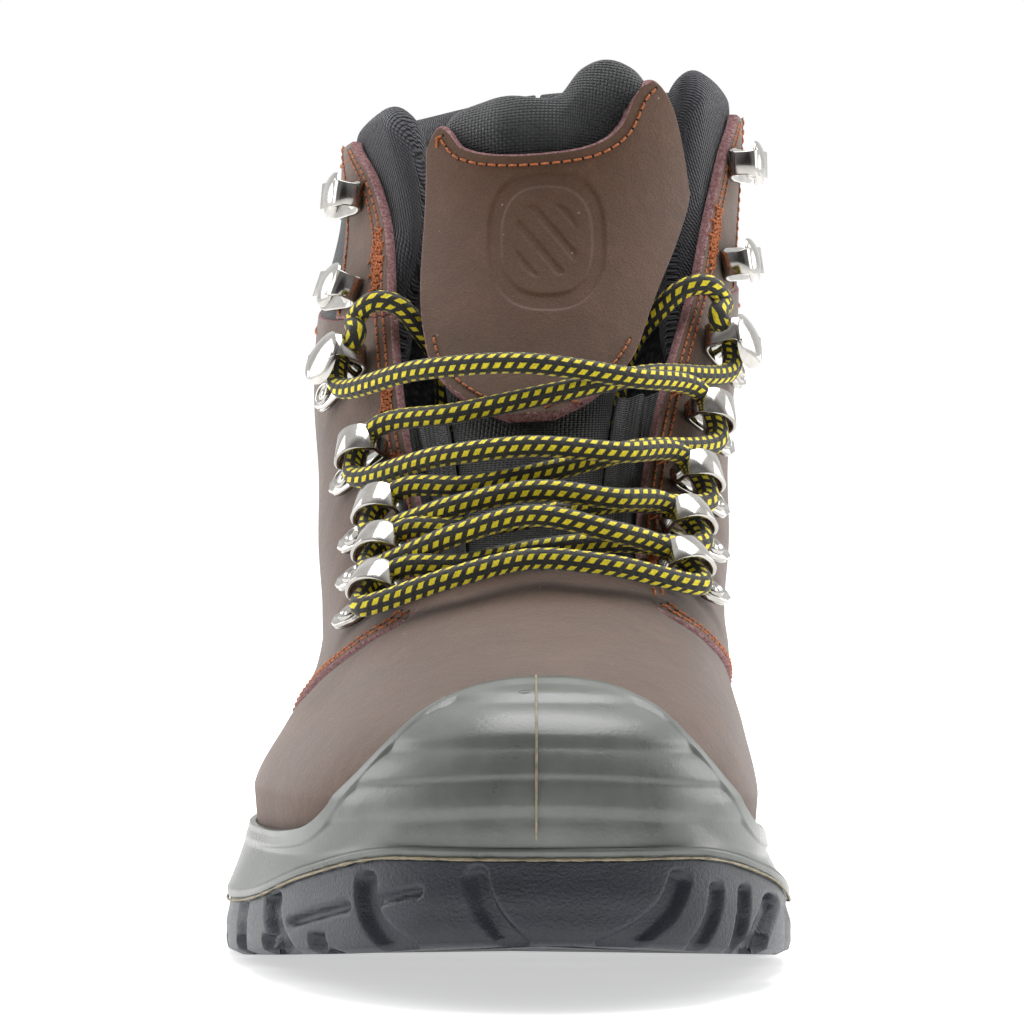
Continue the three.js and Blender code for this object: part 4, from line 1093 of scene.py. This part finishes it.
# closed padded body from a grid over the upper, swelled by a short cloth simulation
def makePad(name, columns, rows, place, outer, inner, material, swell, cap):
    a, b = np.meshgrid(np.linspace(0, 1, columns + 1), np.linspace(0, 1, rows + 1))
    u, v = place(a, b)
    front, back = under(u, v, outer(a, b)), under(u, v, inner(a, b))
    along, up = arcLengths(front, 1), arcLengths(front, 0)
    count = front.shape[0] * front.shape[1]
    points = np.concatenate([front.reshape(-1, 3), back.reshape(-1, 3)])
    index = np.arange(count).reshape(front.shape[:2])
    ring = np.concatenate([index[0], index[1:, -1], index[-1, -2::-1], index[-2:0:-1, 0]])
    faces = np.concatenate([gridQuads(*front.shape[:2]), gridQuads(*front.shape[:2], count, True),
                            np.stack([ring, count + ring, count + np.roll(ring, -1), np.roll(ring, -1)],
                                     -1)])
    uv = np.stack([along - along[:, -1:] / 2, up], -1).reshape(-1, 2) * mm
    pad = makeMesh(name, points, faces, [material], None, np.tile(uv, (2, 1)))
    before = np.array([p.co for p in pad.data.vertices])
    bpy.context.view_layer.objects.active = pad
    cloth = pad.modifiers.new("swell", "CLOTH")
    cloth.settings.quality = 4
    cloth.settings.mass = 0.2
    cloth.settings.use_pressure = True
    cloth.settings.uniform_pressure_force = swell
    cloth.settings.effector_weights.gravity = 0
    cloth.collision_settings.use_collision = False
    for number in range(1, 16):
        scene.frame_set(number)
    swollen = meshThroughModifiers(pad)
    after = np.array([p.co for p in swollen.vertices])
    pad.modifiers.clear()
    move = after - before
    size = np.linalg.norm(move, axis=1, keepdims=True)
    move *= np.minimum(1, cap * mm / np.maximum(size, 1e-9))
    pad.data.vertices.foreach_set("co", (before + move).ravel())
    bpy.data.meshes.remove(swollen)
    scene.frame_set(1)
    smooth = pad.modifiers.new("smooth", "SUBSURF")
    smooth.levels = smooth.render_levels = 1
    made = meshThroughModifiers(pad)
    pad.modifiers.clear()
    pad.data = made
    return pad


paddingSettings = {
    "thick": 9.5, "low": 0.72, "high": 1.07, "swell": 2.5, "cap": 2.2, "nose": 0.07, "noseLength": 0.1,
    "noseDrop": {"medial": 0.075, "lateral": 0.085},
}


def makeCollars():
    s = paddingSettings
    for side, sign in sides:
        def level(a, b, way, sign=sign):
            t = a if sign > 0 else 1 - a
            full = np.sqrt(np.clip((1 - b) / 0.12, 0.02, 1)) * np.sqrt(np.clip(b / 0.15, 0.1, 1))
            full = full * np.sqrt(np.clip(t / s["nose"], 0.15, 1))
            channel = 1 - 0.22 * np.exp(-((b - 0.52) / 0.035) ** 2) * smoothStep(0.15, 0.25, t)
            return -upperSettings["leather"] - 0.5 - s["thick"] / 2 + way * s["thick"] / 2 * full * channel

        def place(a, b, side=side, sign=sign):
            t = a if sign > 0 else 1 - a
            t = t ** 1.3
            dip = 1 - np.sqrt(np.clip(1 - (1 - np.clip(t / s["noseLength"], 0, 1)) ** 2, 0, 1))
            high = s["high"] - s["noseDrop"][side] * dip
            v = mix(s["low"], high, b)
            return sign * mix(tableCurve(cutLines["padding"][side], v), 0.4985, t), v

        outer, inner = (lambda a, b, way=way, level=level: level(a, b, way) for way in (1, -1))
        pad = makePad(f"collarPadding_{side}", 90, 44, place, outer, inner, knit, s["swell"], s["cap"])
        finishOff(pad, [f"collar_padding_{side}"])
    print("collar padded")


makeCollars()

# tongue: padded nylon with a leather face, one piece across the fold
tongueSettings = {
    "low": 0.545, "face": -3.1, "thick": 8, "swell": 2.0, "cap": 2.4, "patchLow": 0.69,
    "emblemAt": (0.004, 0.855), "rowInset": 2.6, "emblemSize": (12.5, 14.5), "emblemRim": 0.8,
    "emblemDeep": 0.4,
}


def insetRow(u, v, inset, lift):  # a row that keeps its distance from a cut edge, to the right of its way
    base = under(u, v, np.zeros_like(u))
    along = unit(np.gradient(base, axis=0))
    out = skinFrame(u, v)[3]
    line = base + np.cross(along, out) * inset + out * lift
    for _ in range(3):
        line[1:-1] = (line[:-2] + line[1:-1] * 2 + line[2:]) / 4
    return line, out


def makeTongue():
    s = tongueSettings

    def place(a, b):
        v = mix(s["low"], tableCurve(tongueShape["top"], a), b)
        return tongueTurn(a, v), v

    def full(a, b):
        top, edges = np.clip((1 - b) / 0.09, 0.02, 1), np.clip(np.minimum(a, 1 - a) / 0.04, 0.1, 1)
        return np.sqrt(top) * np.sqrt(edges)

    middle = s["face"] - s["thick"] / 2
    bulge = lambda a, b: 2.6 * smoothStep(0.84, 0.95, b) * (1 - (2 * a - 1) ** 4)
    folds = lambda a, b: 0.75 * np.sin(a * 19 + b * 7) * smoothStep(0.9, 1, b) + 0.9 * (
        np.exp(-((a - 0.24 - 0.3 * (1 - b)) / 0.05) ** 2)
        + np.exp(-((a - 0.78) / 0.06) ** 2)) * smoothStep(0.82, 0.9, b)
    half = s["thick"] / 2
    outer = lambda a, b: middle + half * full(a, b) + bulge(a, b) + folds(a, b) - 2.5 * (1 - b)
    inner = lambda a, b: middle - half * full(a, b) + bulge(a, b) * 0.4 - (1 - b)
    pad = makePad("tonguePadding", 84, 90, place, outer, inner, ballistic, s["swell"], s["cap"])
    finishOff(pad, ["tongue_base", "tongue_top"], "fold")

    def patchPlace(a, b):
        v = mix(s["patchLow"], tableCurve(tongueShape["faceTop"], a), b)
        return tongueTurn(a, v, tableCurve(tongueShape["faceShare"], v)), v

    def face(a, b, u, v):
        point = skin(u, v)
        centre = skin(*[np.array(x) for x in s["emblemAt"]])
        dx = (point[..., 0] - centre[0]) / s["emblemSize"][0]
        dz = (point[..., 2] - centre[2]) / s["emblemSize"][1]
        r = (np.abs(dx) ** 2.6 + np.abs(dz) ** 2.6) ** (1 / 2.6)
        ringBand = smoothStep(s["emblemRim"] - 0.03, s["emblemRim"] + 0.01, r)
        ringBand = ringBand * (1 - smoothStep(0.99, 1.03, r))
        slant = np.abs(((dx + dz) * 1.5) % 0.75 - 0.375)
        bar = (1 - smoothStep(0.5, 0.56, r)) * (1 - smoothStep(0.1, 0.14, slant))
        return -0.5 - s["emblemDeep"] * np.maximum(ringBand, bar * 0.7)

    patch = makePanel("tongueLeather", 190, 200, patchPlace, face, 2.2, [nubuck, rawEdge], size=(55, 62),
                      fray=0.2)
    finishOff(patch, ["tongue_patch", "tongue_patch_lower"], "fold")
    rows = []
    rows.append(insetRow(*patchPlace(np.linspace(0.02, 0.82, 260), np.ones(260)), s["rowInset"], -0.4))
    bottom = np.linspace(0.0, 0.27, 60)
    for way in (0, 1):
        u, v = patchPlace(np.full(60, float(way)), bottom)
        rows.append(insetRow(u, v, -s["rowInset"] if way else s["rowInset"], -0.4))
    a = np.linspace(0.04, 0.96, 40)
    u, v = patchPlace(a, np.full(40, 0.035))
    rows.append(surfaceRow(u, v, -0.4))
    sewRows("tongueStitching", rows, "fold", "nubuck", pitch=2.3, length=2.0)
    print("tongue made")


makeTongue()

# folded nylon gussets between the tongue and the facings
gussetSettings = {"low": 0.54, "high": 0.71, "folds": 3, "deep": 1.1, "flat": (0.02, 0.056)}


def makeGussets():
    s = gussetSettings
    for side, sign in sides:
        place = oneSide(sign, lambda v, g, side=side: tableCurve(cutLines["tongue"][side], v) - 0.004,
                        lambda v, g: opening(v) + 0.03, s["low"], s["high"])

        def level(a, b, u, v):
            return -3.6 + s["deep"] * np.sin(s["folds"] * 2 * math.pi * a + 2 * b) * np.sin(math.pi * a)

        piece = makePanel(f"gusset_{side}_cloth", 50, 70, place, level, 0.7, [ballistic], size=(18, 30))
        finishOff(piece, [f"gusset_{side}"])
    print("gussets made")


makeGussets()

# stamped hardware, in its own frame: x away from the tongue, y up the foot, z outward
hardwareSettings = {
    "ringHalf": 5.2, "ringTall": 9, "tabReach": 13, "lift": 0.35,
    "rivetLoop": 9.2, "rivetHook": 11.6, "loopLean": 32,
}


def makeStrip(line, widths, thick, corner=0.28, bulge=None):  # bent strip with eased edges
    line = np.array(line, float)
    along = unit(np.gradient(line, axis=0))
    up = np.array((0, 1, 0.0))
    out = unit(np.cross(along, up))
    c = corner
    section = []
    for x, y, turn in ((0.5, 0.5, 0), (-0.5, 0.5, 90), (-0.5, -0.5, 180), (0.5, -0.5, 270)):
        for k in (10, 45, 80):
            section.append((x, y, math.cos(math.radians(turn + k)), math.sin(math.radians(turn + k))))
    rings = []
    for i, p in enumerate(line):
        rings.append([p + up * (x * (widths[i] - 2 * c) + cx * c) + out[i] * (y * (thick - 2 * c) + cy * c)
                      + out[i] * (bulge(i, x * 2) if bulge else 0) for x, y, cx, cy in section])
    rings = np.array(rings)
    n = len(section)
    index = np.arange(len(line) * n).reshape(len(line), n)
    index = np.concatenate([index, index[:, :1]], 1)
    faces = np.stack([index[:-1, :-1], index[:-1, 1:], index[1:, 1:], index[1:, :-1]], -1)
    faces = faces.reshape(-1, 4).tolist()
    faces.append(list(range(n)))
    faces.append(list(range((len(line) - 1) * n + n - 1, (len(line) - 1) * n - 1, -1)))
    return rings.reshape(-1, 3), faces


def makeDisc(profile, count=20, stretch=(1, 1), at=(0, 0, 0)):  # turned shape about z, closed at the axis
    angle = np.linspace(0, 2 * math.pi, count, endpoint=False)
    points, faces = [], []
    for r, z in profile:
        points += [(at[0] + r * stretch[0] * math.cos(t), at[1] + r * stretch[1] * math.sin(t), at[2] + z)
                   for t in angle]
    for i in range(len(profile) - 1):
        for k in range(count):
            j = (k + 1) % count
            faces.append([i * count + k, i * count + j, (i + 1) * count + j, (i + 1) * count + k])
    faces.append(list(range(count))[::-1])
    faces.append([(len(profile) - 1) * count + k for k in range(count)])
    return np.array(points), faces


def arc(cx, cz, rx, rz, start, end, count):
    t = np.radians(np.linspace(start, end, count))
    return [(cx + rx * math.cos(a), 0, cz + rz * math.sin(a)) for a in t]


def loopParts():
    s = hardwareSettings
    h, top, t = s["ringHalf"] - 0.6, s["ringTall"] - 0.6, 0.6
    line = [(x, 0, t) for x in np.linspace(s["tabReach"] + 0.6, h + 0.8, 16)]
    line += [(h + 0.2, 0, t + 0.3), (h, 0, t + 0.9)]
    line += arc(0, 4.2, h, top - 4.2, 0, 180, 22)
    line += [(-h, 0, 2.2), (-h + 0.1, 0, 1.3), (-h + 0.6, 0, t + 0.1), (-h + 2, 0, t), (1.5, 0, t)]
    widths = []
    for i, (x, _, z) in enumerate(line):
        if i < 16:
            reach = np.clip((s["tabReach"] + 0.6 - x) / 4.2, 0, 1)
            widths.append(1.2 + 5.9 * math.sqrt(1 - (1 - reach) ** 2))
        else:
            crown = smoothStep(2.0, 7.2, z)
            widths.append(3.6 + 3.2 * float(crown))
    widths = np.convolve(np.pad(widths, 2, "edge"), np.ones(5) / 5, "valid")
    strip = makeStrip(line, widths, 1.1, bulge=lambda i, side: -0.35 * side * side if 18 < i < 40 else 0)
    return [strip, tabPart(4.6, 3.3, 9.3), rivetPart(s["rivetLoop"], 1.35)]


def tabPart(half, wide, x):  # oval plate with eased rims, under the strip's end
    profile = [(0.2, 0), (0.94, 0), (1, 0.25), (1, 0.55), (0.9, 0.75), (0.2, 0.75)]
    return makeDisc(profile, 24, (half, wide), (x, 0, -0.45))


def rivetPart(x, z):
    return makeDisc([(0.1, -0.9), (2.5, -0.9), (2.6, 0.1), (2.3, 0.5), (1.9, 0.45), (1.6, 0.12),
                     (1.2, 0.1), (0.8, 0.42), (0.1, 0.5)],
                    20, (1, 1), (x, 0, z))


def hookParts(tall, capAcross, capUp):
    s = hardwareSettings
    t = 0.6
    line = [(x, 0, t) for x in np.linspace(s["tabReach"] + 2.2, -2.6, 22)]
    line += arc(-2.6, t + 1.8, 1.8, 1.8, 270, 180, 6)[1:]
    line += arc(-2.6, tall - 2.4, 1.8, 1.8, 180, 90, 6)
    line += [(x, 0, tall - t) for x in np.linspace(-1.6, 5.6, 10)]
    widths = []
    for i, (x, _, z) in enumerate(line):
        if i < 22:
            reach = np.clip((s["tabReach"] + 2.2 - x) / 4.4, 0, 1)
            widths.append(1.2 + 6.2 * math.sqrt(1 - (1 - reach) ** 2))
        else:
            widths.append(4.2 + 2.2 * abs(z - tall / 2) / tall * 2)
    widths = np.convolve(np.pad(widths, 2, "edge"), np.ones(5) / 5, "valid")
    strip = makeStrip(line, widths, 1.1)
    dome = [(0.05, -0.55)] + [(x, -0.55) for x in (0.5, 0.92)] + [(1.0, -0.3), (0.98, 0.0)]
    dome += [(float(x), float(0.05 + 0.85 * (1 - x * x))) for x in (0.9, 0.72, 0.5, 0.25, 0.05)]
    cap = makeDisc(dome, 28, (capAcross, capUp), (1.2, 0, tall - 0.5))
    points = cap[0]
    points[:, 2] -= 0.035 * np.maximum(0, np.abs(points[:, 1]) - 1) ** 2
    collarDisc = makeDisc([(0.2, 0), (2.9, 0), (2.2, 0.7), (1.7, 1.6), (1.6, tall - 3.4),
                           (2.2, tall - 2.2), (2.8, tall - 1.4), (0.2, tall - 1.4)],
                          18, (1, 0.9), (0.4, 0, 1.1))
    return [strip, cap, collarDisc, tabPart(5, 3.6, 11), rivetPart(s["rivetHook"], 1.35)]


def placeHardware(name, parts, sign, at, nodes, turned=0):
    point, across, up, out = skinFrame(sign * at[0], at[1])
    lean = math.radians(turned)
    across, up = (across * math.cos(lean) - sign * up * math.sin(lean),
                  up * math.cos(lean) + sign * across * math.sin(lean))
    points, faces, start = [], [], 0
    for partPoints, partFaces in parts:
        p = partPoints * (sign, 1, 1) + (0, 0, hardwareSettings["lift"])
        points.append(point + p[:, :1] * across + p[:, 1:2] * up + p[:, 2:] * out)
        faces += [[start + i for i in (f[::-1] if sign < 0 else f)] for f in partFaces]
        start += len(partPoints)
    made = bpy.data.meshes.new(name)
    made.from_pydata((np.concatenate(points) * mm).tolist(), [], faces)
    made.materials.append(nickel)
    made.polygons.foreach_set("use_smooth", np.ones(len(made.polygons), bool))
    made.update()
    piece = addPiece(name, made)
    bpy.context.view_layer.objects.active = piece
    crease = piece.modifiers.new("crease", "EDGE_SPLIT")
    crease.split_angle = math.radians(50)
    piece.data = meshThroughModifiers(piece)
    piece.modifiers.clear()
    finishOff(piece, nodes)


def makeHardware():
    loop, lock, speed = loopParts(), hookParts(9.4, 6.2, 6), hookParts(6.8, 4.4, 5.2)
    for side, sign in sides:
        for i, at in enumerate(holderPlaces["loops"][side], 1):
            placeHardware(f"laceLoop_{side}_{i}", loop, sign, at,
                          [f"lace_loop_{side}_{i}", f"rivet_{side}_{i}"],
                          hardwareSettings["loopLean"])
        placeHardware(f"lockHook_{side}", lock, sign, holderPlaces["lock"][side],
                      [f"lock_hook_{side}", f"rivet_{side}_5"],
                      hardwareSettings["loopLean"])
        for i, at in enumerate(holderPlaces["speed"][side], 1):
            placeHardware(f"speedHook_{side}_{i}", speed, sign, at,
                          [f"speed_hook_{side}_{i}", f"rivet_{side}_{i + 5}"])
    print("hardware made")


makeHardware()

# nodes whose CAD shape stays
for node, material in (("penetration_plate", steel), ("steel_toe_cap", steel), ("insole_board", fibreboard),
                       ("heel_counter", fibreboard), ("footbed", felt), ("vamp_lining", lining),
                       ("quarter_lining", lining)):
    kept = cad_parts[node].data.materials
    kept.clear()
    kept.append(material)

# studio: pale floor, broad soft lights above and at both sides
studio = {
    "world": 1.0, "floorGlow": 0.55, "room": [(0.05, grey(0.06)), (0.2, grey(0.34)), (0.34, grey(0.22)),
                                              (0.5, grey(1.0))],
    "lamps": (("top", (0.1, 0.25, 1.2), (0, -0.03, 0.08), 0.9, 13),
              ("left", (-1.2, 0.45, 0.5), (0, 0, 0.1), 0.8, 6),
              ("right", (1.2, 0.45, 0.5), (0, 0, 0.1), 0.8, 6)),
}


def makeStudio():
    bpy.ops.mesh.primitive_plane_add(size=40)
    floor = bpy.context.object
    floor.name = "floor"
    floor.data.materials.append(finish("paperSweep", plainNodes("#efefef", "#f4f4f4", 3, 0.0),
                                       Roughness=0.9,
                                       Emission_Color=grey(1), Emission_Strength=studio["floorGlow"]))
    world = bpy.data.worlds.new("studio")
    world.use_nodes = True
    tree = world.node_tree
    way = addNode(tree, "ShaderNodeSeparateXYZ", None, {0: addNode(tree,
        "ShaderNodeTexCoord").outputs["Generated"]})
    dim = ramp(tree, math2(tree, "MULTIPLY_ADD", way.outputs[1], 0.5, 0.5), studio["room"])
    tree.links.new(dim, tree.nodes["Background"].inputs["Color"])
    tree.nodes["Background"].inputs["Strength"].default_value = studio["world"]
    scene.world = world
    for name, at, aim, size, power in studio["lamps"]:
        lamp = bpy.data.objects.new(name, bpy.data.lights.new(name, "AREA"))
        lamp.data.size = size
        lamp.data.energy = power
        lamp.location = at
        lamp.rotation_euler = (Vector(aim) - Vector(at)).to_track_quat("-Z", "Y").to_euler()
        scene.collection.objects.link(lamp)


makeStudio()
